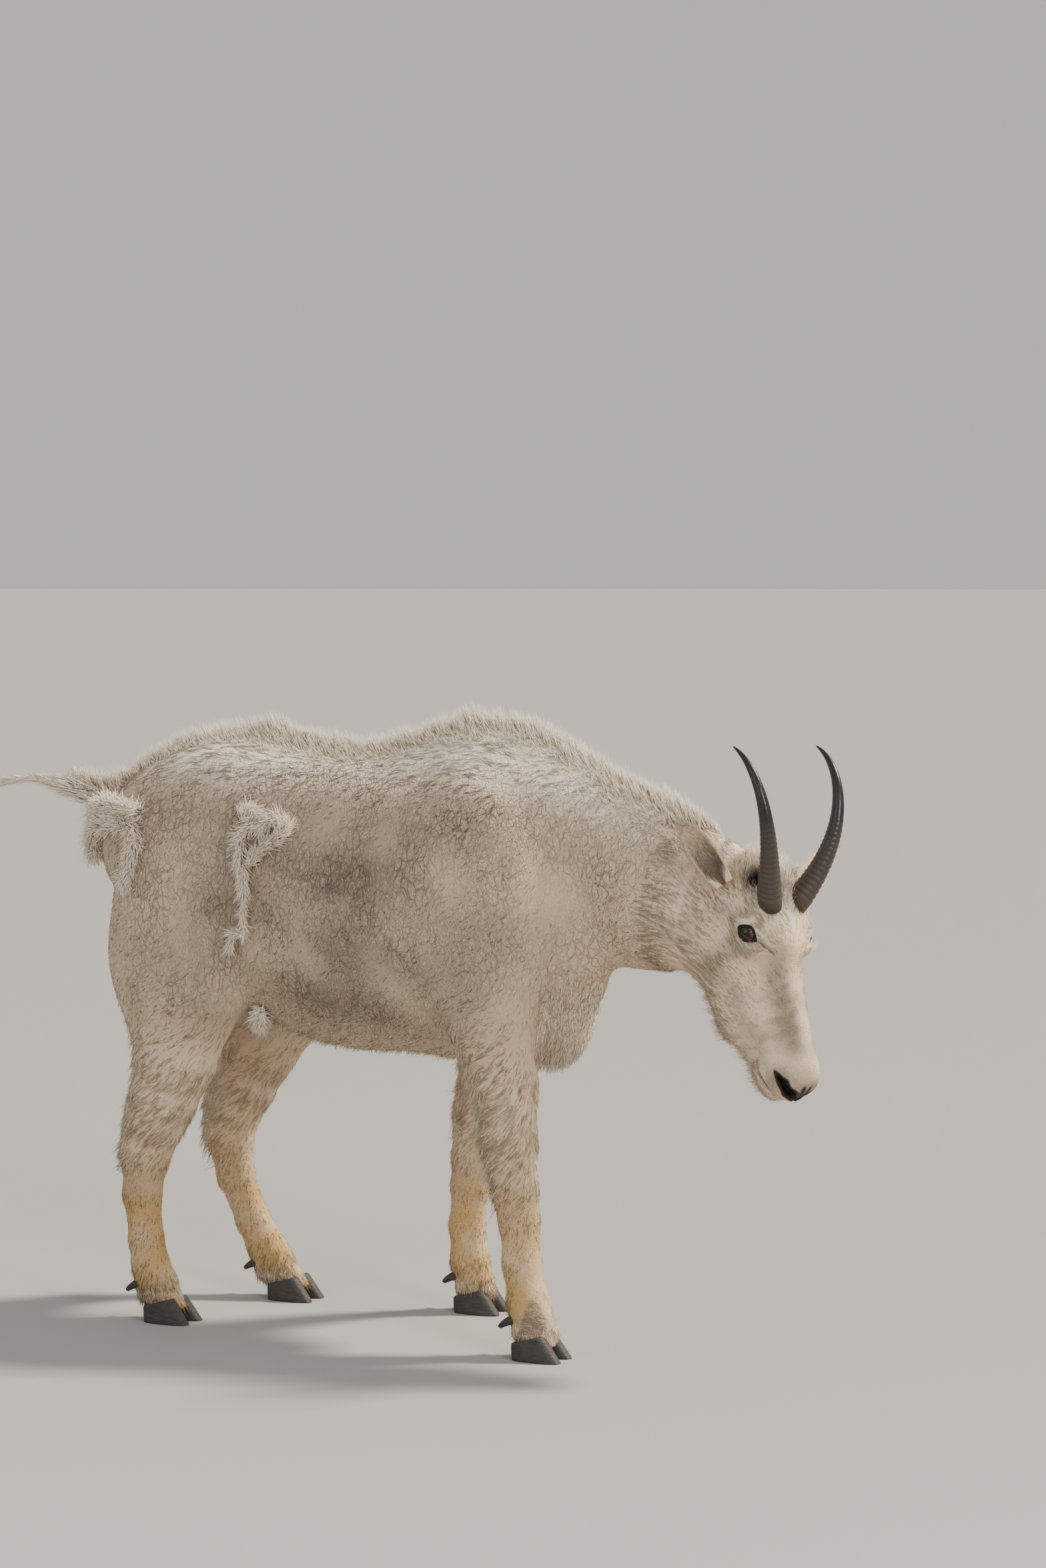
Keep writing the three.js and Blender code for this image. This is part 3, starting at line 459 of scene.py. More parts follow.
# %% [markdown]
# A goat has no bare nose pad. The nostrils are slanting commas that meet over a split lip, and the mouth
# is a fine crease between full lips. Each is a line that the skin is pushed in along.

# %% Nostrils and mouth
nostril_limbs = blend(
    4,
    limb((217, 4, -67), (211, 18, -57), 3.5, 7.5),
    limb((211, 18, -57), (198, 30, -50), 7.5, 6),
    limb((198, 30, -50), (182, 39, -49), 6, 2),
)


def nostril(q):
    """How far a point is from the nostril's edge, in millimetres, negative inside."""
    return nostril_limbs(q * [1, 0, 1] + np.abs(q) * [0, 1, 0])


def mouth_height(q):
    return -84 - 8 * smooth_step(214, 148, q[:, 0]) + 3 * bump(q[:, 1] / 8)


def shape_muzzle(q, on_head):
    """Swells the lips, cuts the mouth and presses the nostrils in."""
    out = np.stack([q[:, 0] - 168, q[:, 1], (q[:, 2] + 66) * 0.7], 1)
    out /= np.maximum(np.linalg.norm(out, axis=1), 1e-6)[:, None]
    inward = np.stack([q[:, 0] - 160, q[:, 1], np.zeros(len(q))], 1)
    inward /= np.maximum(np.linalg.norm(inward, axis=1), 1e-6)[:, None]
    lip_line = q[:, 2] - mouth_height(q)
    behind = smooth_step(134, 158, q[:, 0]) * on_head
    full = 5.5 * bump(lip_line / 17) * smooth_step(216, 190, q[:, 0]) * behind
    swell = 1.4 * bump((np.abs(lip_line) - 5.0) / 2.6) * behind
    q += inward * (full + swell - 4.0 * bump(lip_line / 1.9) * behind)[:, None]
    hole = nostril(q)
    depth = 9 * (1 - smooth_step(-2.5, 1.5, hole)) - 1.8 * bump((hole - 3.5) / 2.2)
    q -= out * (depth * on_head)[:, None]
    crease = (1 - smooth_step(1.0, 3.2, np.abs(q[:, 1]))) * (q[:, 0] > 190) * bump((q[:, 2] + 74) / 9)
    q[:, 0] -= 3.0 * crease * on_head
    return q


calm = surface  # the skin before the face is pressed in, which the markings are worked out on
on_face = (head_share(calm) > 0.9).astype(float)
surface = from_head(shape_muzzle(shape_lids(to_head(calm), on_face), on_face))
skin.data.vertices.foreach_set("co", to_row(surface).ravel())
skin.data.update()
print("skin box:", surface.min(0).round(), surface.max(0).round())

# %% [markdown]
# The coat has no sharp patches, only soft shifts of colour. Painting them by hand would need an image,
# so each one is a number from 0 to 1 worked out at a point: warm, grey, dark and bright, the last partly
# a painted highlight along the back.
# Skin and tufts ask the same function, so no border shows between them. A sum of sine waves in random
# directions gives the uneven edges, and gives the same value to a tuft and to the skin under it.

# %% Soft noise


def noise(p, size, seed=0):
    """Soft random values in about -1 to 1, the same for every piece."""
    local = np.random.default_rng(100 + seed)
    total = np.zeros(len(p))
    for _ in range(7):
        wave = local.normal(size=3)
        wave *= 2 * math.pi / (size * local.uniform(0.6, 1.6) * np.linalg.norm(wave))
        total += np.sin(p @ wave + local.uniform(0, 6.28))
    return total / 3.2


print("noise:", noise(np.zeros((1, 3)), 50).round(3))

# %% [markdown]
# On the body the lower legs are yellowish, flank and neck are greyer than the rest, and knees, hocks and
# the hair over the hooves are dusky.

# %% Body markings


def body_warmth(p):
    warm = smooth_step(340, 130, p[:, 2]) * (0.72 + 0.28 * noise(p, 70, 1))
    return warm + 0.15 * smooth_step(560, 430, p[:, 2])


def body_grey(p):
    x, z = p[:, 0], p[:, 2]
    flank = bump((x + 200) / 400) * smooth_step(880, 770, z) * smooth_step(360, 500, z)
    neck_side = 0.3 * bump((x - 150) / 260) * smooth_step(830, 740, z) * smooth_step(400, 520, z)
    return np.maximum(0.74 * flank, neck_side) + 0.28 * noise(p, 150, 2) * flank


def joint_grey(p):
    z = p[:, 2]
    joints = 0.7 * bump((z - 215) / 40) + 0.8 * bump((z - 50) / 20) + 0.15 * bump((z - 330) / 60)
    return 0.5 * joints * (0.8 + 0.25 * noise(p, 60, 3)) * smooth_step(420, 360, z)


print("grey on the flank:", body_grey(np.array([(-200.0, -150, 640)])).round(2))

# %% [markdown]
# On the head a dusky stripe runs beside the bridge of the nose, with dusky jaw corners and cheeks. Lids,
# nostrils and the glands behind the horns are black, and the forehead is the palest part.

# %% Head markings


def head_dusk(q):
    """The dusky places of the head: the stripe, the jaw's corners and the nose."""
    x, across, z = q[:, 0], np.abs(q[:, 1]), q[:, 2]
    stripe = bump((across - 27 + 0.06 * x) / 10) * smooth_step(10, 50, x) * smooth_step(186, 150, x)
    stripe *= smooth_step(-70, -25, z)
    jaw = bump((x + 6) / 22) * bump((z + 72) / 26) + 0.6 * bump((x + 60) / 18) * bump((z + 10) / 24)
    nose = smooth_step(160, 190, x) * smooth_step(-88, -70, z) * smooth_step(-18, -40, z)
    return stripe, jaw, nose


def head_grey(p, q, stripe, jaw, nose):
    x, across = q[:, 0], np.abs(q[:, 1])
    cheek = 0.35 * smooth_step(0, 0.9, noise(p, 26, 7)) * smooth_step(20, 60, x) * smooth_step(170, 120, x)
    return 0.12 + 0.18 * noise(p, 50, 10) + 0.8 * stripe + 0.6 * jaw * (across > 25) + cheek + 0.6 * nose


def head_dark(q, face):
    """1 on lids, nostrils, the split of the lip, the mouth and the glands."""
    x, across, z = q[:, 0], np.abs(q[:, 1]), q[:, 2]
    e = almond(q)
    lids = np.where(face, 1 - smooth_step(1.05, 1.28, e), 0)
    black_nose = np.where(face, 1 - smooth_step(3.5, 7.0, nostril(q) + 0.8 * noise(q, 14, 8)), 0)
    split_lip = np.where(face & (x > 195), bump(q[:, 1] / 3.6) * bump((z + 72) / 11), 0)
    bridge = bump((across - 1 - 0.15 * (z + 66)) / 4) * smooth_step(-29, -40, z) * smooth_step(-80, -70, z)
    bridge = np.where(face & (x > 198), 1.2 * bridge, 0)
    crease = np.where(face & (x > 150), 0.7 * bump((z - mouth_height(q)) / 1.7), 0)
    gland = np.where(face, bump((x + 72) / 12) * bump((across - 34) / 12) * (z > 30), 0)
    return lids + black_nose + split_lip + bridge + crease + 1.3 * gland


def markings(p):
    """Warm, grey, dark and bright amounts, each 0 to 1; bright holds a painted highlight along the back."""
    q = to_head(p)
    on_head = smooth_step(0.3, 0.9, head_share(p))
    off_head = 1 - on_head
    face = on_head > 0.5
    dusk = head_dusk(q)
    warm = body_warmth(p) * off_head + 0.12 * on_head
    grey = body_grey(p) * off_head + joint_grey(p) + on_head * head_grey(p, q, *dusk)
    # The top of the back and neck is brightened as a painted highlight; the pale ring round each eye is the
    # coat's own.
    top = p[:, 2] + 0.3 * np.maximum(p[:, 0] - 60, 0)
    painted_highlight_and_eye_ring = smooth_step(790, 885, top) * off_head + 0.4 * bump((almond(q) - 1.6) / 0.35) * face
    middle = 0.6 * bump(q[:, 1] / 34) * smooth_step(40, -20, q[:, 0])
    forehead = on_head * (middle + 0.12 * smooth_step(20, -60, q[:, 2]))
    forehead *= 1 - np.clip(sum(dusk), 0, 1)
    rows = np.stack([warm, grey, head_dark(q, face), painted_highlight_and_eye_ring + forehead], 1)
    return np.clip(rows, 0, 1)


print("markings of the forehead:", markings(from_head([(-10, 0, 56)])).round(2))

# %% [markdown]
# Felted summer hair splits into small plates. How deeply is a third attribute, strongest on the trunk, which
# sets the painted shade in the cracks.
# Attributes are stored on the mesh points, where the material reads them by name.

# %% Painting the markings


def crackle(p):
    """How strongly the felted coat is cracked: on the trunk and neck, fading to the legs, crest and face."""
    amount = smooth_step(410, 520, p[:, 2]) * (1 - smooth_step(0.5, 1.0, head_share(p)))
    amount *= 1 - 0.9 * smooth_step(820, 890, p[:, 2] + 0.25 * np.maximum(p[:, 0] - 60, 0))
    return np.clip(amount * (0.75 + 0.45 * noise(p, 120, 12)), 0, 1)


def paint(obj, rows, tone=0.0, crack=0.0):
    """Stores the markings, each tuft's tone, with its painted light and shade, and the strength of the cracks
    on the mesh.
    """
    layer = obj.data.attributes.new("marking", "FLOAT_COLOR", "POINT")
    layer.data.foreach_set("color", np.ascontiguousarray(rows, np.float32).ravel())
    for name, values in (("tone", tone), ("crack", crack)):
        layer = obj.data.attributes.new(name, "FLOAT", "POINT")
        layer.data.foreach_set("value", np.broadcast_to(values, len(rows)).astype(np.float32))


paint(skin, markings(calm), crack=crackle(calm))
print("mean markings of the skin:", markings(calm).mean(0).round(2))

# %% [markdown]
# Shader maths in nodes is hard to read and slow to wire. A small class wraps one output socket, so that
# an expression such as 1 - mask adds its own Math node. A second class holds a material's node tree and
# makes any other node from its settings and inputs.

# %% Node expressions


class Value:
    """One output socket, with arithmetic that makes Math nodes."""

    def __init__(self, tree, socket):
        self.tree, self.socket = tree, socket

    def math(self, operation, *others, clamp=False):
        node = self.tree.nodes.new("ShaderNodeMath")
        node.operation, node.use_clamp = operation, clamp
        for slot, item in zip(node.inputs, (self, *others)):
            if isinstance(item, Value):
                self.tree.links.new(item.socket, slot)
            else:
                slot.default_value = item
        return Value(self.tree, node.outputs[0])

    def __add__(self, other):
        return self.math("ADD", other)

    def __mul__(self, other):
        return self.math("MULTIPLY", other)

    def __sub__(self, other):
        return self.math("SUBTRACT", other)

    def __rsub__(self, other):
        return (self * -1) + other

    __radd__, __rmul__ = __add__, __mul__

    def clamp(self):
        return self.math("ADD", 0.0, clamp=True)


class Shader:
    """A material's node tree."""

    def __init__(self, name):
        self.material = bpy.data.materials.new(name)
        self.material.use_nodes = True
        self.tree = self.material.node_tree
        self.surface = self.tree.nodes["Principled BSDF"]

    def node(self, kind, settings=None, inputs=None, output=0):
        node = self.tree.nodes.new(kind)
        for key, value in (settings or {}).items():
            setattr(node, key, value)
        for key, value in (inputs or {}).items():
            if isinstance(value, Value):
                self.tree.links.new(value.socket, node.inputs[key])
            else:
                node.inputs[key].default_value = value
        return Value(self.tree, node.outputs[output])

    def mix(self, factor, a, b):
        return self.node("ShaderNodeMix", {"data_type": "RGBA"}, {0: factor, 6: a, 7: b}, 2)

    def set(self, **inputs):
        for key, value in inputs.items():
            slot = self.surface.inputs[key.replace("_", " ")]
            if isinstance(value, Value):
                self.tree.links.new(value.socket, slot)
            else:
                slot.default_value = value
        return self.material


def rgb(r, g, b):
    return (r, g, b, 1.0)


print("operators of a value:", [name for name in vars(Value) if name.startswith("__")])

# %% [markdown]
# The short coat is felted and splits into a network of cracks, finer than tufts alone could show.
# A Voronoi texture's distance to its cell edges draws them as painted shade, warped by noise so that no cell
# is straight.
# The same material, with its bump left out, covers the tufts, so the cracks run on through the hair.

# %% Coat material
CREAM, BRIGHT = rgb(0.76, 0.61, 0.445), rgb(0.98, 0.90, 0.77)
OCHRE, TAUPE, BLACK = rgb(0.56, 0.36, 0.145), rgb(0.25, 0.197, 0.153), rgb(0.016, 0.013, 0.012)
SHADOW, SUN = rgb(0.15, 0.105, 0.075), rgb(0.93, 0.87, 0.74)


def crack_pattern(sh, place, broad):
    """1 in the middle of a crack, 0 on a plate of felt."""
    warp = sh.node("ShaderNodeTexNoise", None, {"Vector": place, "Scale": 38.0, "Detail": 3.0}, 1)
    shift = sh.node("ShaderNodeVectorMath", {"operation": "SCALE"}, {0: warp, "Scale": 0.024})
    moved = sh.node("ShaderNodeVectorMath", {"operation": "ADD"}, {0: place, 1: shift})
    long_way = sh.node("ShaderNodeMapping", None, {"Vector": moved, "Scale": (1.0, 0.8, 0.42)})

    def cells(scale):
        inputs = {"Vector": long_way, "Scale": scale}
        return sh.node("ShaderNodeTexVoronoi", {"feature": "DISTANCE_TO_EDGE"}, inputs)

    edge, small = cells(105.0), cells(250.0)
    wide_cracks = (1.0 - edge * 8.0).clamp() * (broad * 2.2 - 0.55).clamp()
    return wide_cracks + (1.0 - small * 6.0).clamp() * 0.35


def coat_material(name, skin_side):
    sh = Shader(name)
    mark = sh.node("ShaderNodeAttribute", {"attribute_name": "marking"})
    parts = sh.tree.nodes.new("ShaderNodeSeparateColor")
    sh.tree.links.new(mark.socket, parts.inputs[0])
    warm, grey, dark = (Value(sh.tree, parts.outputs[i]) for i in range(3))
    bright = Value(sh.tree, mark.socket.node.outputs["Alpha"])
    tone = sh.node("ShaderNodeAttribute", {"attribute_name": "tone"}, output=2)
    cracked = sh.node("ShaderNodeAttribute", {"attribute_name": "crack"}, output=2)
    place = sh.node("ShaderNodeTexCoord", output=3)
    fine = sh.node("ShaderNodeTexNoise", None, {"Vector": place, "Scale": 420.0, "Detail": 3.0})
    broad = sh.node("ShaderNodeTexNoise", None, {"Vector": place, "Scale": 16.0, "Detail": 5.0})
    # The cracks darken the colour as painted shade in the gaps of the felt, and on the skin they also dip the
    # bump.
    gap = (crack_pattern(sh, place, broad) * cracked).clamp()
    colour = sh.mix(warm.clamp(), CREAM, OCHRE)
    colour = sh.mix((grey * (0.55 + broad * 0.75)).clamp(), colour, TAUPE)
    # BRIGHT is the own pale of the wool and the eye rings, and a painted highlight on the back, crest and
    # chest fringe.
    colour = sh.mix((bright * 0.85).clamp(), colour, BRIGHT)
    # shade is the fur's random grain and each tuft's tone, with painted shade in the cracks: below zero it
    # darkens towards SHADOW, above zero it lightens towards SUN.
    shade = (fine - 0.5) * 0.8 + (broad - 0.5) * 0.5 + tone * 0.8 - gap * 0.75
    colour = sh.mix((shade * -1.0).clamp(), colour, SHADOW)
    colour = sh.mix(shade.clamp(), colour, SUN)
    colour = sh.mix(dark.clamp(), colour, BLACK)
    if skin_side:
        height = fine * 0.5 - gap * 1.2 + broad * 0.8
        sh.set(Normal=sh.node("ShaderNodeBump", None, {"Height": height, "Strength": 0.7, "Distance": 0.004}))
    return sh.set(Base_Color=colour, Roughness=0.92 - dark * 0.5, Specular_IOR_Level=0.2)


skin_look = coat_material("felted coat", True)
tuft_look = coat_material("tufts", False)
skin.data.materials.append(skin_look)
FLESH = [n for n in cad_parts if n.startswith(("torso", "neck", "head", "tail", "foreleg", "hindleg"))]
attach(skin, "root")
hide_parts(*FLESH)
print("flesh nodes shown by the skin:", len(FLESH))

# %% [markdown]
# Hair lies along the body: back and down on the trunk, straight down on the legs, and from the nose
# towards the ears on the face. Combing it by hand would have to be repeated after every change of shape,
# so the direction is a function of the place, with a little slow wander, laid flat on the skin.

# %% Hair direction and roots
FACE = HEAD_AXES[:, 0]


def leg_share(p):
    return smooth_step(300, 170, p[:, 2]) * (head_share(p) < 0.5)


def flow(p, normal):
    """The way the hair lies at a point, along the skin."""
    q = to_head(p)
    on_head = head_share(p)[:, None]
    leg = leg_share(p)[:, None]
    trunk_way = np.array([-0.75, 0, -0.62]) + np.outer(0.5 * smooth_step(780, 880, p[:, 2]), [0, 0, 1])
    way = trunk_way * (1 - leg) + np.array([-0.12, 0, -1.0]) * leg
    cheek = smooth_step(10, -60, q[:, 2])[:, None]
    head_way = -FACE * 0.9 - HEAD_AXES[:, 2] * 0.35 * cheek
    side_way = HEAD_AXES[:, 1] * (np.sign(q[:, 1]) * 0.25 * smooth_step(120, 20, q[:, 0]))[:, None]
    way = way * (1 - on_head) + (head_way + side_way) * on_head
    wander = np.stack([noise(p, 46, k) for k in (4, 5, 6)], 1) * 0.22
    way = way + wander
    way = way - normal * (way * normal).sum(1)[:, None]
    return way / np.maximum(np.linalg.norm(way, axis=1), 1e-6)[:, None]


def triangles_of(obj):
    obj.data.calc_loop_triangles()
    tri = np.empty(len(obj.data.loop_triangles) * 3, int)
    obj.data.loop_triangles.foreach_get("vertices", tri)
    return tri.reshape(-1, 3)


skin_triangles = triangles_of(skin)
print("skin triangles:", len(skin_triangles))


def scatter(count, weight, verts=None, tris=None):
    """Random places on a surface, thicker where weight is larger."""
    verts = surface if verts is None else verts
    tris = skin_triangles if tris is None else tris
    a, b, c = (verts[tris[:, k]] for k in range(3))
    cross = np.cross(b - a, c - a)
    size = np.linalg.norm(cross, axis=1)
    chance = size * weight((a + b + c) / 3, cross / np.maximum(size, 1e-9)[:, None])
    pick = rng.choice(len(tris), count, p=chance / chance.sum())
    u, v = rng.random(count), rng.random(count)
    over = u + v > 1
    u[over], v[over] = 1 - u[over], 1 - v[over]
    place = a[pick] + u[:, None] * (b - a)[pick] + v[:, None] * (c - a)[pick]
    return place, cross[pick] / np.maximum(size[pick], 1e-9)[:, None]


# %% [markdown]
# Every tuft needs a place on a map, the OFBake layer.
# Instead of unwrapping a million triangles, a tuft takes the place of its root on an unwrap of the
# skin: along the body and round it, with a map of its own for legs and head.

# %% Bake maps
BAKE_PATCH = 0.0015  # half the width of a tuft's patch on the map


def unwrap(p):
    """A place on the coat as a flat map: along the body, and round it."""
    return np.stack([(p[:, 0] + 900) / 1600, (np.arctan2(p[:, 2] - 640, p[:, 1]) / math.pi + 1) / 2], 1)


def unwrap_leg(p):
    middle = np.where(p[:, 0] < -200, -480.0, 30.0)
    side = np.where(p[:, 1] < 0, 0.0, 0.5)
    angle = np.arctan2(p[:, 1] - np.sign(p[:, 1]) * 122, p[:, 0] - middle) / (2 * math.pi) + 0.5
    return np.stack([side + angle * 0.24 + np.where(middle > 0, 0.25, 0), np.clip(p[:, 2] / 520, 0, 1)], 1)


def unwrap_head(p):
    q = to_head(p)
    return np.stack([(q[:, 0] + 200) / 440, (np.arctan2(q[:, 2] + 45, q[:, 1]) / math.pi + 1) / 2], 1)


print("tail on the map:", unwrap(np.array([(-700.0, 0, 780)])).round(2))

# %% [markdown]
# A tuft is a thin three-sided spike: a root ring, sometimes more rings along it, and a tip that lies
# back towards the skin. Curves could be thinner still, but they are not meshes. All tufts of a piece go
# into one mesh through flat arrays, because a loop over them in Python would take minutes.

# %% Growing tufts
ROOT_DEPTH = 1.2
TIP_DROP = 0.55
TONE_SPREAD = 0.24


def tuft_faces(levels):
    """The triangles of one tuft, with its rings first and its tip last."""
    faces = [(0, 2, 1)]
    for i in range(levels - 1):
        a, b = 3 * i, 3 * i + 3
        for k in range(3):
            m = (k + 1) % 3
            faces += [(a + k, a + m, b + m), (a + k, b + m, b + k)]
    last = 3 * (levels - 1)
    return faces + [(last + k, last + (k + 1) % 3, 3 * levels) for k in range(3)]


def mesh_of_triangles(name, verts, faces):
    mesh = bpy.data.meshes.new(name)
    mesh.vertices.add(len(verts))
    mesh.vertices.foreach_set("co", to_row(verts).ravel())
    mesh.loops.add(faces.size)
    mesh.loops.foreach_set("vertex_index", faces.ravel())
    mesh.polygons.add(len(faces))
    mesh.polygons.foreach_set("loop_start", np.arange(0, faces.size, 3))
    mesh.polygons.foreach_set("use_smooth", np.ones(len(faces), bool))
    mesh.update()
    obj = bpy.data.objects.new(name, mesh)
    bpy.context.scene.collection.objects.link(obj)
    return obj


def grow(
    name, root, normal, way, length, width, lift,
    bend=0.5, levels=(0.0, 0.5), tone=0.0, chart=unwrap, pale=0.0,
):
    """One mesh of tufts. lift is how steeply a tuft leaves the skin, bend how far its tip lies back."""
    count = len(root)
    along = way * np.cos(lift)[:, None] + normal * np.sin(lift)[:, None]
    across = np.cross(normal, way)
    over = np.cross(along, across)
    spin = rng.uniform(0, 2 * math.pi, count)
    root = root - normal * ROOT_DEPTH
    back = way - normal * TIP_DROP
    rings = []
    for level in levels:
        middle = root + along * (length * level)[:, None] + back * (bend * length * level**2)[:, None]
        size = width * (1 - level) ** 0.6
        for k in range(3):
            angle = spin + 2 * math.pi * k / 3
            flat_side = over * (np.sin(angle) * size * 0.55)[:, None]
            rings.append(middle + across * (np.cos(angle) * size)[:, None] + flat_side)
    tip = root + along * length[:, None] + back * (bend * length)[:, None]
    verts = np.stack([*rings, tip], 1).reshape(-1, 3)
    per = 3 * len(levels) + 1
    faces = (np.array(tuft_faces(len(levels)))[None] + np.arange(count)[:, None, None] * per).reshape(-1, 3)
    obj = mesh_of_triangles(name, verts, faces)
    shade = tone + rng.normal(0, TONE_SPREAD, count)
    # pale moves a piece towards BRIGHT: the wool's own white, and a painted highlight on the crest and chest
    # fringe.
    rows = markings(root) * [1 - pale, 1 - pale, 1, 1]
    rows[:, 3] = np.maximum(rows[:, 3], pale)
    paint(obj, np.repeat(rows, per, 0), np.repeat(shade, per), np.repeat(crackle(root) * (1 - pale), per))
    home = np.clip(chart(root), 0.004, 0.996)
    patch = np.stack([np.cos(np.arange(per)), np.sin(np.arange(per))], 1) * BAKE_PATCH
    place = (home[:, None] + patch[None]).reshape(-1, 2)
    layer = obj.data.uv_layers.new(name="OFBake")
    layer.data.foreach_set("uv", place[faces.ravel()].ravel())
    obj.data.materials.append(tuft_look)
    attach(obj, "root")
    print(name, "tufts:", count, "triangles:", len(faces))


# %% [markdown]
# Dry hair clumps, and the gaps between clumps are what makes a coat look like hair from a distance.
# A tree of random seed points gives the clumps: each tuft turns towards its nearest seed, and the
# difference between its two nearest seeds tells how close it is to a gap, where it gets painted shade.

# %% Clumps


def clump_tree(count, weight):
    seeds = scatter(count, weight)[0]
    tree = KDTree(count)
    for i, seed in enumerate(seeds):
        tree.insert(seed, i)
    tree.balance()
    return tree


def clumped(root, way, tree, pull):
    """Turns each tuft towards its clump's middle line, and tells how near it is to the next clump."""
    pairs = [tree.find_n(p, 2) for p in root]
    nearest = np.array([pair[0][0] for pair in pairs])
    border = 1 - smooth_step(0, 3.5, np.array([pair[1][2] - pair[0][2] for pair in pairs]))
    turned = way + (nearest + way * 9 - root) * pull / 9
    return turned / np.maximum(np.linalg.norm(turned, axis=1), 1e-6)[:, None], border


print("border of a lone tuft's clump:", 1 - smooth_step(0, 3.5, 10.0))

# %% [markdown]
# The short coat goes everywhere but on the eyes, nose and lips. Weights say where a kind of hair grows,
# and lengths and widths follow the animal: longest on the back, finest on the nose. The trunk and head
# coats are split into pieces.

# %% Short coat
SHARE = 1.0  # a draft grows fewer tufts
print("share of the tufts grown:", SHARE)


def bare(p):
    """0 on the eyes, nose and lips, where no tuft grows."""
    q = to_head(p)
    on = head_share(p) > 0.9
    across = np.abs(q[:, 1])
    eye = on & (almond(q) < 1.3) & (across > 28) & (np.abs(q[:, 0] - EYE[0]) < 30)
    nose = on & (nostril(q) < 6)
    lip = on & (q[:, 0] > 192) & (across < 8) & (q[:, 2] > -86) & (q[:, 2] < -36)
    return np.where(eye | nose | lip, 0.0, 1.0)


def trunk_weight(p, n):
    return (head_share(p) < 0.7) * smooth_step(330, 420, p[:, 2])


def leg_weight(p, n):
    return (head_share(p) < 0.2) * smooth_step(420, 330, p[:, 2]) * (p[:, 2] > 26)


def head_weight(p, n):
    q = to_head(p)
    return (head_share(p) > 0.5) * bare(p) * (0.6 + 0.9 * smooth_step(60, 200, q[:, 0]))


def short_coat(name, count, weight, length, width, lift, tree, chart, pull=0.45):
    root, normal = scatter(int(count * SHARE), weight)
    way, border = clumped(root, flow(root, normal), tree, pull)
    reach = length(root) * rng.uniform(0.6, 1.3, len(root))
    lifts = rng.uniform(*lift, len(root))
    # Tufts near a clump border are darkened: painted shade in the gaps of the cracked coat.
    tone = -0.5 * border * crackle(root)
    grow(name, root, normal, way, reach, width(root), lifts, levels=(0.0,), tone=tone, chart=chart)


def trunk_length(p):
    return 10 + 9 * smooth_step(780, 880, p[:, 2]) + 4 * smooth_step(500, 420, p[:, 2])


def trunk_width(p):
    return 1.12 + 0.25 * smooth_step(700, 880, p[:, 2])


def leg_length(p):
    return 9 + 7 * smooth_step(200, 330, p[:, 2]) + 4 * smooth_step(110, 60, p[:, 2])


def leg_width(p):
    return np.full(len(p), 0.9)


def head_length(p):
    q = to_head(p)
    return 4.5 + 7 * smooth_step(150, 0, q[:, 0]) + 5 * smooth_step(-60, -110, q[:, 2])


def head_width(p):
    return 0.6 + 0.35 * smooth_step(150, 10, to_head(p)[:, 0])


# %% [markdown]
# Lift is a range of angles in radians: flat on the trunk, a little fluffier on legs and cheeks.

# %% Trunk, leg and head coats
TRUNK_TUFTS, TRUNK_PIECES = 33000, 4
LEG_TUFTS = 40000
HEAD_TUFTS, HEAD_PIECES = 27000, 2
felt = clump_tree(9000, trunk_weight)
for k in range(TRUNK_PIECES):
    name = f"trunk_coat_{k}"
    short_coat(name, TRUNK_TUFTS, trunk_weight, trunk_length, trunk_width, (0.15, 0.5), felt, unwrap)
socks = clump_tree(3000, leg_weight)
short_coat("leg_coat", LEG_TUFTS, leg_weight, leg_length, leg_width, (0.2, 0.6), socks, unwrap_leg, 0.13)
mask = clump_tree(2600, head_weight)
for k in range(HEAD_PIECES):
    name = f"head_coat_{k}"
    short_coat(name, HEAD_TUFTS, head_weight, head_length, head_width, (0.2, 0.6), mask, unwrap_head, 0.3)

# %% [markdown]
# The crest is the upright brush along back and neck that gives the animal its hump, painted paler than
# the coat as a highlight. Its tufts grow on the ridge, stand up and fan out sideways, and get shorter away
# from the middle, so that the brush runs into the short coat without an edge.

# %% Crest
CREST_TUFTS = 14000
CREST_LEAN = -0.42  # how far the brush leans to the tail for each unit of height


def crest_offset(p):
    return p[:, 1] - np.interp(p[:, 0], [70, 195, 304, 395], [0, -4, -16, -34])


def crest_height(p):
    tall = 22 + 2 * smooth_step(-250, -60, p[:, 0]) + 3 * noise(p, 40, 9)
    return tall * (1 - 0.55 * smooth_step(6, 46, np.abs(crest_offset(p))))


def crest_weight(p, n):
    off = np.abs(crest_offset(p))
    on_back = (n[:, 2] > 0.3) & (off < 52) & (p[:, 2] > 735) & (p[:, 0] < 400)
    return on_back * (head_share(p) < 0.75) * (1.25 - off / 52)


root, normal = scatter(int(CREST_TUFTS * SHARE), crest_weight)
fan = crest_offset(root) / 60
upright = np.stack([np.full(len(root), CREST_LEAN), fan, np.ones(len(root))], 1)
upright += rng.normal(0, 0.13, (len(root), 3))
upright /= np.linalg.norm(upright, axis=1)[:, None]
brush = clump_tree(900, crest_weight)
way, border = clumped(root, upright, brush, 0.3)
tall = crest_height(root) * rng.uniform(0.55, 1.15, len(root))
side_way = np.cross(way, np.array([0.0, 1.0, 0.0]))
flat = np.full(len(root), 0.05)
wide = np.full(len(root), 0.9)
# A tone of 0.25 and a pale amount of 0.6 paint a highlight on the brush; its clump borders get painted shade.
grow("crest", root, side_way, way, tall, wide, flat, 0.15, (0.0, 0.5), 0.25 - 0.2 * border, pale=0.6)


# %% [markdown]
# Longer hair hangs from jaw, chest and belly, stands on the poll and falls over the hooves. It does not
# lie on the skin but leaves it in one direction, so a fringe is given that direction, a spread and a
# length. Its tufts have a ring more than the short coat, to bend.

# %% Fringes


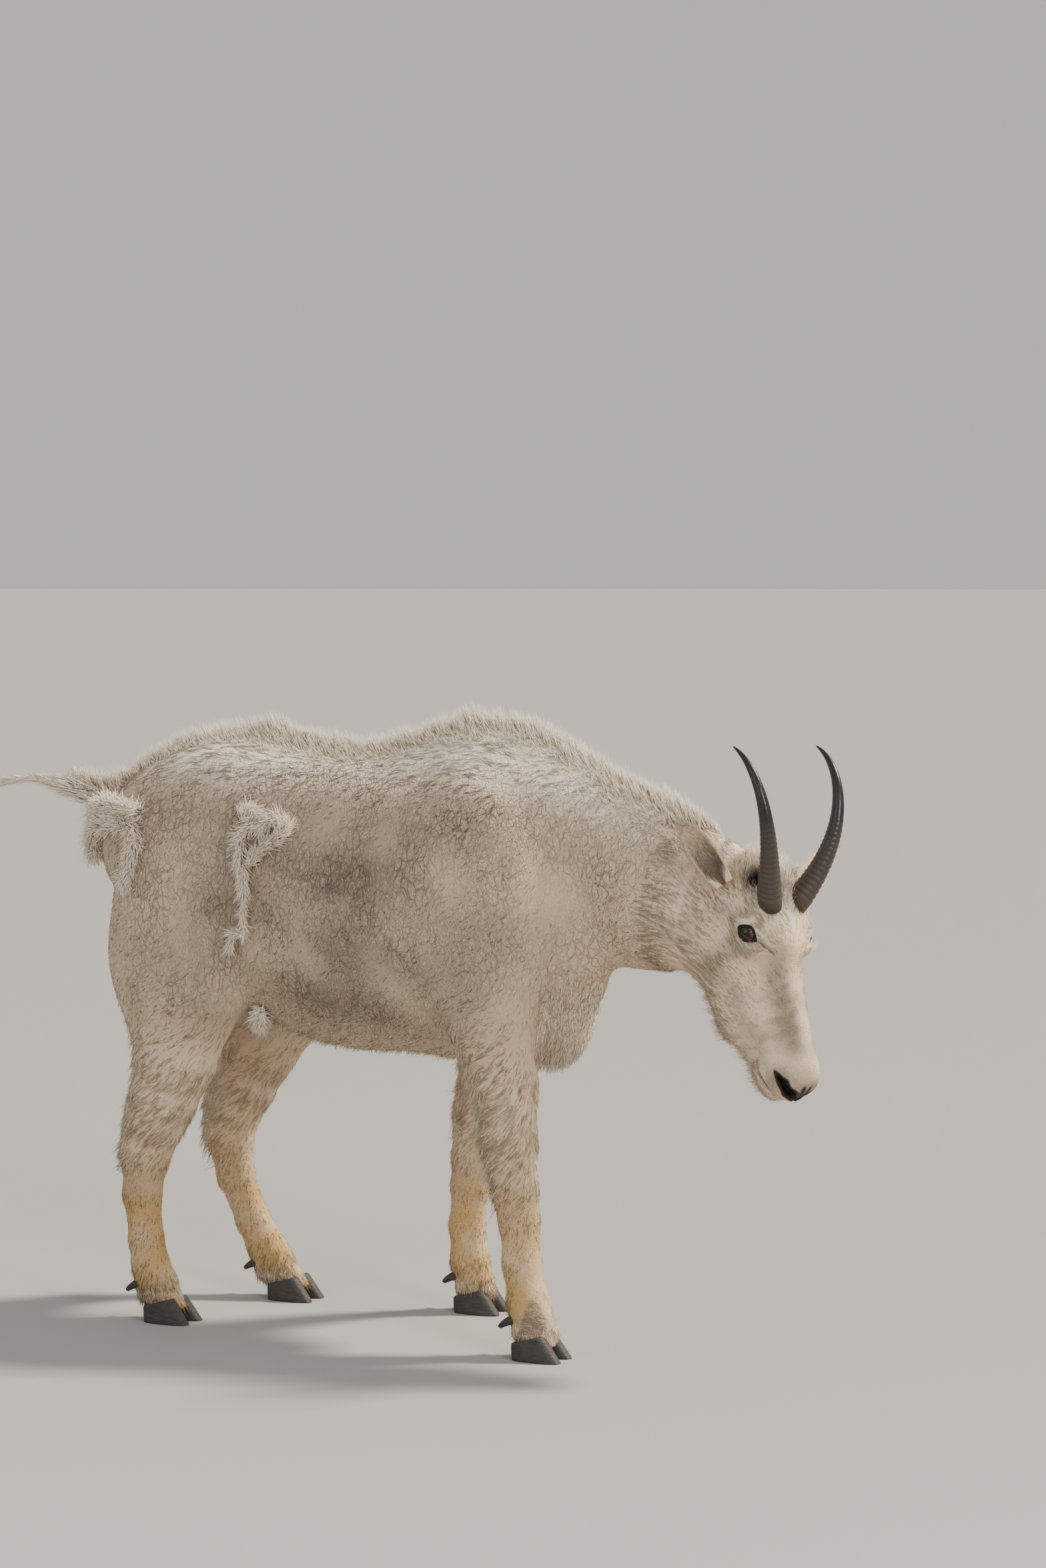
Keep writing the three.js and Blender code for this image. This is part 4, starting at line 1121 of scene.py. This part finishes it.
def fringe(name, count, weight, toward, length, width, spread, chart, tone=0.0, pale=0.4):
    root, normal = scatter(int(count * max(SHARE, 0.5)), weight)
    way = np.array(toward) + rng.normal(0, spread, (len(root), 3))
    way /= np.linalg.norm(way, axis=1)[:, None]
    tree = clump_tree(max(20, count // 22), weight)
    way, border = clumped(root, way, tree, 0.5)
    side_way = np.cross(way, normal + 0.01)
    side_way /= np.maximum(np.linalg.norm(side_way, axis=1), 1e-6)[:, None]
    long = length(root) if callable(length) else length
    reach = long * rng.uniform(0.55, 1.15, len(root))
    wide = np.full(len(root), width)
    # Tufts near a clump border get painted shade.
    shade = tone - 0.15 * border
    grow(name, root, side_way, way, reach, wide, 0 * reach, 0.1, (0.0, 0.45), shade, chart, pale)


def jaw_weight(p, n):
    q = to_head(p)
    return (head_share(p) > 0.5) * smooth_step(-84, -112, q[:, 2]) * (np.abs(q[:, 1]) < 46) * (q[:, 0] < 186)


def poll_weight(p, n):
    q = to_head(p)
    return (head_share(p) > 0.3) * bump((q[:, 0] + 84) / 34) * bump(q[:, 1] / 34) * (q[:, 2] > 24)


def chest_weight(p, n):
    front = bump((p[:, 0] - 130) / 70) * smooth_step(560, 440, p[:, 2])
    return front * (np.abs(p[:, 1]) < 80) * (n[:, 2] < 0.2) * (p[:, 2] > 385)


def belly_weight(p, n):
    return (n[:, 2] < -0.55) * (p[:, 2] > 380) * (p[:, 2] < 520) * (p[:, 0] < 60) * (head_share(p) < 0.2)


def chaps_weight(p, n):
    back = (n[:, 0] < -0.2) * smooth_step(200, 260, p[:, 2]) * smooth_step(470, 400, p[:, 2])
    return back * (head_share(p) < 0.1) * (np.abs(p[:, 1]) > 40)


def foot_weight(p, n):
    return bump((p[:, 2] - 42) / 7) * (p[:, 2] > 30)


def chest_length(p):
    return 11 + 9 * bump((p[:, 0] - 105) / 45)


JAW_WAY = -FACE * 0.55 - HEAD_AXES[:, 2] * 0.9
POLL_WAY = HEAD_AXES[:, 2] * 0.5 - FACE * 0.8
CHEST_WAY, BELLY_WAY = (-0.35, 0, -1.0), (-0.6, 0, -0.8)
CHAPS_WAY, FOOT_WAY = (-0.45, 0, -0.9), (0.25, 0, -1.0)
fringe("beard", 4400, jaw_weight, JAW_WAY, 19, 0.55, 0.2, unwrap_head, 0.25)
fringe("poll", 2200, poll_weight, POLL_WAY, 20, 0.6, 0.25, unwrap_head, 0.3)
# The chest fringe's tone of 0.2 and pale amount of 0.75 are painted light, brightening hair that hangs in
# shade.
fringe("chest_fringe", 5600, chest_weight, CHEST_WAY, chest_length, 0.7, 0.16, unwrap, 0.2, 0.75)
fringe("belly_fringe", 3000, belly_weight, BELLY_WAY, 11, 0.7, 0.25, unwrap)
fringe("chaps", 4400, chaps_weight, CHAPS_WAY, 20, 0.8, 0.15, unwrap_leg, 0.1)
fringe("coronets", 3400, foot_weight, FOOT_WAY, 15, 0.8, 0.2, unwrap_leg, 0.15)

# %% [markdown]
# Horns are black sheaths over bone, round, ringed near the base and polished towards the tip. A bevelled
# curve would do, but the rings need the radius to change every millimetre, so a tube is built along a
# line that leans back faster and faster. Its base is sunk into the skull. The base, length, lean, curl
# and spread are those of the part: a least-squares fit, by a scratch script, to both horns in the
# photograph.

# %% Horn line
HORN_BASE, HORN_LENGTH, HORN_RADIUS = (-42.6, 28.6, 56.0), 249.0, 17.5
HORN_SUNK = 16.0
HORN_LEAN, HORN_CURL, HORN_SPREAD = 29.0, (27.7, 68.8), (22.9, -23.6)


def horn_line(side, count):
    points = [np.array(HORN_BASE)]
    for s in (np.arange(count - 1) + 0.5) / (count - 1):
        lean = math.radians(HORN_LEAN + HORN_CURL[0] * s + HORN_CURL[1] * s * s)
        spread = math.radians(HORN_SPREAD[0] + HORN_SPREAD[1] * s)
        step = [-math.sin(lean) * math.cos(spread), math.sin(spread), math.cos(lean) * math.cos(spread)]
        points.append(points[-1] + np.array(step) * HORN_LENGTH / (count - 1))
    points = np.array(points)
    sunk = points[0] - (points[1] - points[0]) * HORN_SUNK * (count - 1) / HORN_LENGTH
    return np.concatenate([[sunk], points[1:]]) * [1, side, 1]


def tube(line, wide, thick, around):
    """A closed tapered tube along a line of points."""
    tangent = np.gradient(line, axis=0)
    tangent /= np.linalg.norm(tangent, axis=1)[:, None]
    side = np.array([0.0, 1, 0])
    across = side - tangent * (tangent @ side)[:, None]
    across /= np.linalg.norm(across, axis=1)[:, None]
    over = np.cross(tangent, across)
    angle = np.arange(around) * 2 * math.pi / around
    ring = across[:, None] * (np.cos(angle)[None, :, None] * wide[:, None, None])
    ring = line[:, None] + ring + over[:, None] * (np.sin(angle)[None, :, None] * thick[:, None, None])
    verts = np.concatenate([ring.reshape(-1, 3), line[:1], line[-1:]])
    n = len(line)
    faces = []
    for i in range(n - 1):
        for k in range(around):
            m = (k + 1) % around
            faces.append((i * around + k, i * around + m, (i + 1) * around + m, (i + 1) * around + k))
    faces += [(n * around, (k + 1) % around, k) for k in range(around)]
    last = (n - 1) * around
    faces += [(n * around + 1, last + k, last + (k + 1) % around) for k in range(around)]
    return verts, faces


print("horn tip in the head's frame:", horn_line(1, 50)[-1].round())

# %% [markdown]
# The colour runs from brown and dull on the rings to black and glossy at the tip. The tone attribute on
# the mesh carries that change, so the material needs no picture.

# %% Horns
HORN_RINGS, HORN_AROUND, HORN_STEPS = 30, 40, 260
sh = Shader("horn")
place = sh.node("ShaderNodeTexCoord", output=3)
ringed = sh.node("ShaderNodeAttribute", {"attribute_name": "tone"}, output=2)
grain = sh.node("ShaderNodeTexNoise", None, {"Vector": place, "Scale": 420.0, "Detail": 5.0})
HORN_BLACK, HORN_BROWN = rgb(0.012, 0.011, 0.013), rgb(0.085, 0.062, 0.046)
horn_colour = sh.mix((ringed * (0.6 + grain * 0.6)).clamp(), HORN_BLACK, HORN_BROWN)
horn_bump = sh.node("ShaderNodeBump", None, {"Height": grain, "Strength": 0.25, "Distance": 0.001})
horn_look = sh.set(Base_Color=horn_colour, Roughness=0.28 + ringed * 0.34, Normal=horn_bump)

for side, label in ((-1, "right"), (1, "left")):
    s = np.linspace(0, 1, HORN_STEPS)
    taper = HORN_RADIUS * (1 - s) ** 0.72 * (1 - 0.12 * np.sin(math.pi * s)) + 0.5
    rings = np.clip(1 - s / 0.5, 0, 1) ** 0.6
    wave = np.abs(np.sin(s * HORN_RINGS * math.pi * (1 + 0.25 * s) + 0.5 * side)) ** 0.7
    taper = taper + rings * (wave - 0.5) * 1.7
    verts, faces = tube(horn_line(side, HORN_STEPS), taper * 0.94, taper * 1.04, HORN_AROUND)
    horn = make_mesh(f"horn_{label}_shown", to_row(from_head(verts)), faces)
    ring_tone = np.concatenate([np.repeat(rings * (0.5 + 0.5 * wave), HORN_AROUND), [1.0, 0.0]])
    paint(horn, np.zeros((len(verts), 4)), ring_tone)
    horn.data.materials.append(horn_look)
    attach(horn, "root")
    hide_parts(f"horn_{label}")
    print(horn.name, "faces:", len(faces))

# %% [markdown]
# A goat's eye is dark brown, with a wide flat pupil and a wet cornea that bulges a little. A glass shell
# over an iris would be truer, but from this far one ball is enough. Its iris, rays and pupil are numbers
# on a fine sphere, measured from the gaze, and a thin clear coat makes it wet.

# %% Eyes
sh = Shader("eye")
polar = sh.node("ShaderNodeAttribute", {"attribute_name": "marking"})
bits = sh.tree.nodes.new("ShaderNodeSeparateColor")
sh.tree.links.new(polar.socket, bits.inputs[0])
iris, pupil = (Value(sh.tree, bits.outputs[i]) for i in range(2))
EYE_RIM, IRIS_BROWN, PUPIL = rgb(0.006, 0.005, 0.005), rgb(0.050, 0.022, 0.008), rgb(0.003, 0.003, 0.004)
eye_colour = sh.mix(pupil, sh.mix(iris, EYE_RIM, IRIS_BROWN), PUPIL)
eye_look = sh.set(
    Base_Color=eye_colour, Roughness=0.2, Specular_IOR_Level=0.3, Coat_Weight=0.2, Coat_Roughness=0.02
)
for side, label in ((-1, "right"), (1, "left")):
    ball = bmesh.new()
    bmesh.ops.create_uvsphere(ball, u_segments=96, v_segments=64, radius=EYE_RADIUS)
    mesh = bpy.data.meshes.new(f"eye_{label}_shown")
    ball.to_mesh(mesh)
    ball.free()
    eye = bpy.data.objects.new(mesh.name, mesh)
    bpy.context.scene.collection.objects.link(eye)
    local = coordinates(mesh)
    wide, tall, ahead = (local * [1, side, 1] @ LID_AXES).T
    off = np.arccos(np.clip(ahead / EYE_RADIUS, -1, 1))
    rays = 0.8 + 0.2 * np.sin(np.arctan2(tall, wide) * 46)
    iris_part = (1 - smooth_step(0.60, 0.72, off)) * rays
    slot_part = 1 - smooth_step(0.85, 1.1, np.hypot(wide / 7.5, tall / 3.4))
    paint(eye, np.stack([iris_part, slot_part * (off < 0.8), 0 * off, 0 * off], 1))
    bulge = 1 + 0.03 * (1 - smooth_step(0.3, 0.75, off))
    mesh.vertices.foreach_set("co", to_row(from_head(local * bulge[:, None] + eye_centre(side))).ravel())
    mesh.polygons.foreach_set("use_smooth", [True] * len(mesh.polygons))
    mesh.materials.append(eye_look)
    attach(eye, "root")
    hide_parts(f"eye_{label}")
    print(eye.name, "vertices:", len(local))

# %% [markdown]
# Ears are thin leaves of cartilage, folded into a cup that is narrow at its base and open at its tip.
# Each is a row of arcs, an outer one and an inner one, joined to a closed wall. Near ear and far ear
# point different ways, because the animal listens to both sides. Cups are dusky and rims pale.

# %% Ears
EAR_BASE, EAR_LENGTH, EAR_WIDTH = (-92.0, 60.0, 12.0), 102.0, 42.0
EAR_WAY = {-1: (-61, -48, 20), 1: (-36, 88, 18)}
EAR_OPEN = {-1: (0.55, -0.6, 0.5), 1: (0.7, 0.3, -0.3)}


def ear_surface(side, rows=40, half=16):
    way = np.array(EAR_WAY[side], float)
    way /= np.linalg.norm(way)
    opening = np.array(EAR_OPEN[side])
    opening -= way * (opening @ way)
    opening /= np.linalg.norm(opening)
    across = np.cross(way, opening)
    base = np.array(EAR_BASE) * [1, side, 1]
    rings, inside = [], []
    for s in np.linspace(0, 1, rows):
        width = EAR_WIDTH / 2 * (0.62 + 1.1 * s) * (1 - s**2.2) ** 0.8 + 0.6
        fold = 1.9 + (0.55 - 1.9) * s
        wall = 2.6 + (1.2 - 2.6) * s
        fill = max(0, 1 - s * 5)
        middle = base + way * EAR_LENGTH * s - opening * 6 * s * s
        radius = width / math.sin(min(fold, math.pi / 2))
        span = np.linspace(-1, 1, half) * fold

        def arc(r, angle, rise):
            height = radius * 0.55 - np.cos(angle) * r + rise
            return middle + np.outer(np.sin(angle) * r, across) + np.outer(height, opening)

        inner = max(radius - wall, 0.4) * (1 - fill * 0.75)
        rings.append(np.concatenate([arc(radius, span, 0), arc(inner, -span * 0.94, fill * 2)]))
        in_cup = smooth_step(1.02, 0.7, np.abs(span) / fold) * (1 - s**3)
        inside.append(np.concatenate([np.zeros(half), in_cup]))
    verts = np.concatenate(rings)
    around = 2 * half
    faces = []
    for i in range(rows - 1):
        for k in range(around):
            m = (k + 1) % around
            faces.append((i * around + k, i * around + m, (i + 1) * around + m, (i + 1) * around + k))
    faces.append(tuple(range(around - 1, -1, -1)))
    faces.append(tuple(range((rows - 1) * around, rows * around)))
    return verts, faces, np.concatenate(inside), way


for side, label in ((-1, "right"), (1, "left")):
    verts, faces, inside, way = ear_surface(side)
    world = from_head(verts)
    ear = make_mesh(f"ear_{label}_skin", world, faces)
    edit = bmesh.new()
    edit.from_mesh(ear.data)
    bmesh.ops.recalc_face_normals(edit, faces=edit.faces)
    edit.to_mesh(ear.data)
    edit.free()
    tris = triangles_of(ear)
    mark = np.stack([0.25 + 0 * inside, 0.6 * inside, 0.72 * inside, 0.35 * (1 - inside)], 1)
    ear.data.vertices.foreach_set("co", to_row(world).ravel())
    paint(ear, mark)
    ear.data.materials.append(skin_look)
    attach(ear, "root")
    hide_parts(f"ear_{label}")
    root, normal = scatter(int(5000 * SHARE), lambda p, n: np.ones(len(p)), world, tris)
    direction = HEAD_AXES @ way
    lie = direction - normal * (normal @ direction)[:, None]
    lie /= np.maximum(np.linalg.norm(lie, axis=1), 1e-6)[:, None]
    grow(
        f"ear_{label}_coat", root, normal, lie, rng.uniform(6, 11, len(root)), np.full(len(root), 0.7),
        rng.uniform(0.1, 0.4, len(root)), levels=(0.0,), chart=unwrap_head,
    )

# %% [markdown]
# Hooves and dewclaws are worn horn without sharp edges. Their solids already have the right shape, so
# each is copied, remeshed into small voxels and smoothed, which rounds every edge by about a millimetre.

# %% Hooves
VOXEL = 0.002  # metres
sh = Shader("hoof")
place = sh.node("ShaderNodeTexCoord", output=3)
stretched = sh.node("ShaderNodeMapping", None, {"Vector": place, "Scale": (1.0, 1.0, 5.0)})
lines = sh.node("ShaderNodeTexNoise", None, {"Vector": stretched, "Scale": 90.0, "Detail": 6.0})
worn = sh.node("ShaderNodeTexNoise", None, {"Vector": place, "Scale": 40.0, "Detail": 4.0})
HOOF_BLACK, HOOF_GREY = rgb(0.014, 0.013, 0.013), rgb(0.085, 0.074, 0.064)
hoof_colour = sh.mix((lines * 0.8 + worn * 0.5 - 0.25).clamp(), HOOF_BLACK, HOOF_GREY)
hoof_bump = sh.node("ShaderNodeBump", None, {"Height": lines, "Strength": 0.5, "Distance": 0.002})
hoof_look = sh.set(Base_Color=hoof_colour, Roughness=0.55 + worn * 0.2, Normal=hoof_bump)
for name, node in sorted(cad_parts.items()):
    if not name.startswith(("hoof", "dewclaw")):
        continue
    piece = node.copy()
    piece.data = node.data.copy()
    piece.name = f"{name}_shown"
    bpy.context.scene.collection.objects.link(piece)
    piece.data.materials.clear()
    piece.data.materials.append(hoof_look)
    remesh = piece.modifiers.new("fine", "REMESH")
    remesh.mode, remesh.voxel_size, remesh.use_smooth_shade = "VOXEL", VOXEL, True
    soften = piece.modifiers.new("soft", "SMOOTH")
    soften.factor, soften.iterations = 0.5, 4
    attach(piece, "root")
    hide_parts(name)
print("horn feet:", sum(name.startswith(("hoof", "dewclaw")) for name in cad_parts))

# %% [markdown]
# Winter wool comes off in ropes and knots that hang from flank, rump and groin, and the tail ends in a
# twisted wisp. A rope is a line of points with many tufts set round it. Each lies roughly along the line,
# and how far it frays decides whether the rope looks combed or woolly.

# %% Ropes of hair


def strand_bundle(name, line, count, spread, length, width, seed_lift=0.3, pale=0.9, fray=0.1):
    """Tufts set along a line, lying along it: a rope of loose hair."""
    line = np.array(line, float)
    seg = rng.random(count) * (len(line) - 1)
    i = np.clip(seg.astype(int), 0, len(line) - 2)
    t = (seg - i)[:, None]
    middle = line[i] * (1 - t) + line[i + 1] * t
    way = line[i + 1] - line[i]
    way /= np.linalg.norm(way, axis=1)[:, None]
    way += rng.normal(0, fray, (count, 3))
    way /= np.linalg.norm(way, axis=1)[:, None]
    out = rng.normal(size=(count, 3))
    out -= way * (out * way).sum(1)[:, None]
    out /= np.maximum(np.linalg.norm(out, axis=1), 1e-6)[:, None]
    width_here = np.interp(seg / (len(line) - 1), np.linspace(0, 1, len(spread)), spread)
    root = middle + out * (width_here * rng.uniform(0.3, 1, count) ** 0.5)[:, None]
    grow(
        name, root, out, way, length * rng.uniform(0.6, 1.3, count), np.full(count, width),
        rng.uniform(-0.1, seed_lift, count), 0.1, (0.0, 0.35, 0.7), 0.25, pale=pale,
    )


def loose(p, lift=5.0):
    """Lifts a strand's points a little off the coat."""
    p = settle(np.array(p, float), coat_field)
    out = np.stack([coat_field(p + e) - coat_field(p) for e in np.eye(3)], 1)
    return p + out * lift


TAIL_LINE = [
    (-655, 0, 783), (-690, 0, 790), (-720, 0, 800), (-738, 0, 803),
    (-756, 0, 806), (-790, 0, 812), (-830, 0, 810), (-850, 0, 806),
]
TAIL_WIDTHS = (24, 22, 20, 9, 5, 4, 3)
strand_bundle("tail_hair", TAIL_LINE, int(1500 * max(SHARE, 0.5)), TAIL_WIDTHS, 26, 1.1)

# %% [markdown]
# A scratch script cast pixels marked along the photograph's wool through the camera onto the field and
# printed points. The three flank hanks are those points almost unchanged, the rump hank mostly. The other
# lines start from it and were moved. loose pulls all onto the coat and lifts them a little.

# %% Hanks of wool
HANKS = {
    "flank_hank": [
        (-342, -139, 764), (-336, -133, 781), (-321, -135, 774), (-327, -141, 756),
        (-344, -145, 741), (-340, -150, 717), (-334, -153, 689), (-331, -153, 658),
    ],
    "flank_loop": [
        (-327, -153, 698), (-315, -151, 714), (-298, -149, 730), (-273, -145, 742),
        (-267, -139, 760), (-287, -135, 772), (-303, -138, 765), (-310, -142, 752),
    ],
    "flank_thread": [
        (-331, -153, 658), (-333, -151, 628), (-334, -147, 600), (-354, -147, 598), (-363, -142, 576),
    ],
    "rump_roll": [
        (-530, -122, 772), (-577, -105, 776), (-620, -75, 778), (-655, -45, 770), (-672, -35, 745),
    ],
    "rump_roll_low": [
        (-560, -118, 752), (-600, -98, 752), (-640, -70, 742), (-662, -52, 722), (-655, -60, 700),
    ],
    "rump_hank": [
        (-575, -108, 764), (-542, -124, 749), (-530, -136, 720), (-538, -139, 690), (-545, -140, 663),
    ],
    "groin_wool": [(-334, -95, 480), (-345, -90, 462), (-352, -70, 440), (-350, -60, 405)],
}
WOOL_WIDTH = {"flank_thread": 3, "rump_roll": 21, "rump_roll_low": 19, "rump_hank": 13, "groin_wool": 12}
USUAL_WIDTH = 10
for name, line in HANKS.items():
    wide = WOOL_WIDTH.get(name, USUAL_WIDTH)
    widths = (wide * 0.6, wide, wide * 0.7)
    strand_bundle(name, loose(line), int(75 * wide + 120), widths, 19, 1.0, 0.7, fray=0.4)
strand_bundle("tail_lump", [(-716, 0, 812), (-724, 2, 824)], 160, (8, 3), 10, 1.2)

# %% [markdown]
# A pale coat needs light from one side, or its relief disappears. One lamp like a hazy sun comes from
# above the goat's front left, and a pale grey world fills the shadows. One panel brightens the flank
# that the camera sees, the other chest and face. The floor is plain and meets the surround in a faint
# horizon.

# %% Stage and light
FLOOR = 900  # metres from the middle to each edge
floor_corners = [(-FLOOR, -FLOOR, 0), (FLOOR, -FLOOR, 0), (FLOOR, FLOOR, 0), (-FLOOR, FLOOR, 0)]
floor = make_mesh("floor", floor_corners, [(0, 1, 2, 3)], False)
sh = Shader("floor")
floor.data.materials.append(sh.set(Base_Color=rgb(0.40, 0.395, 0.385), Roughness=0.9))
world = bpy.data.worlds.new("studio")
world.use_nodes = True
world.node_tree.nodes["Background"].inputs[0].default_value = (0.90, 0.89, 0.87, 1)
world.node_tree.nodes["Background"].inputs[1].default_value = 0.62
bpy.context.scene.world = world


def panel(name, at, aim, size, power, colour):
    light = bpy.data.lights.new(name, "AREA")
    light.size, light.energy, light.color = size, power, colour
    obj = bpy.data.objects.new(name, light)
    obj.location = at
    obj.rotation_euler = (Vector(aim) - Vector(at)).to_track_quat("-Z", "Y").to_euler()
    bpy.context.scene.collection.objects.link(obj)


key = bpy.data.lights.new("key", "SUN")
key.energy, key.angle, key.color = 5.4, math.radians(8), (1.0, 0.91, 0.78)
sun = bpy.data.objects.new("key", key)
sun.rotation_euler = Vector((-1.5, -1.1, -2.1)).to_track_quat("-Z", "Y").to_euler()
bpy.context.scene.collection.objects.link(sun)
panel("fill", (-1.2, -4.2, 2.4), (0, 0, 0.5), 2.5, 35, (0.95, 0.97, 1.0))
panel("front", (3.6, -2.4, 2.4), (0.4, 0, 0.5), 1.2, 70, (1.0, 0.97, 0.92))
print("lamps:", len(bpy.data.lights))
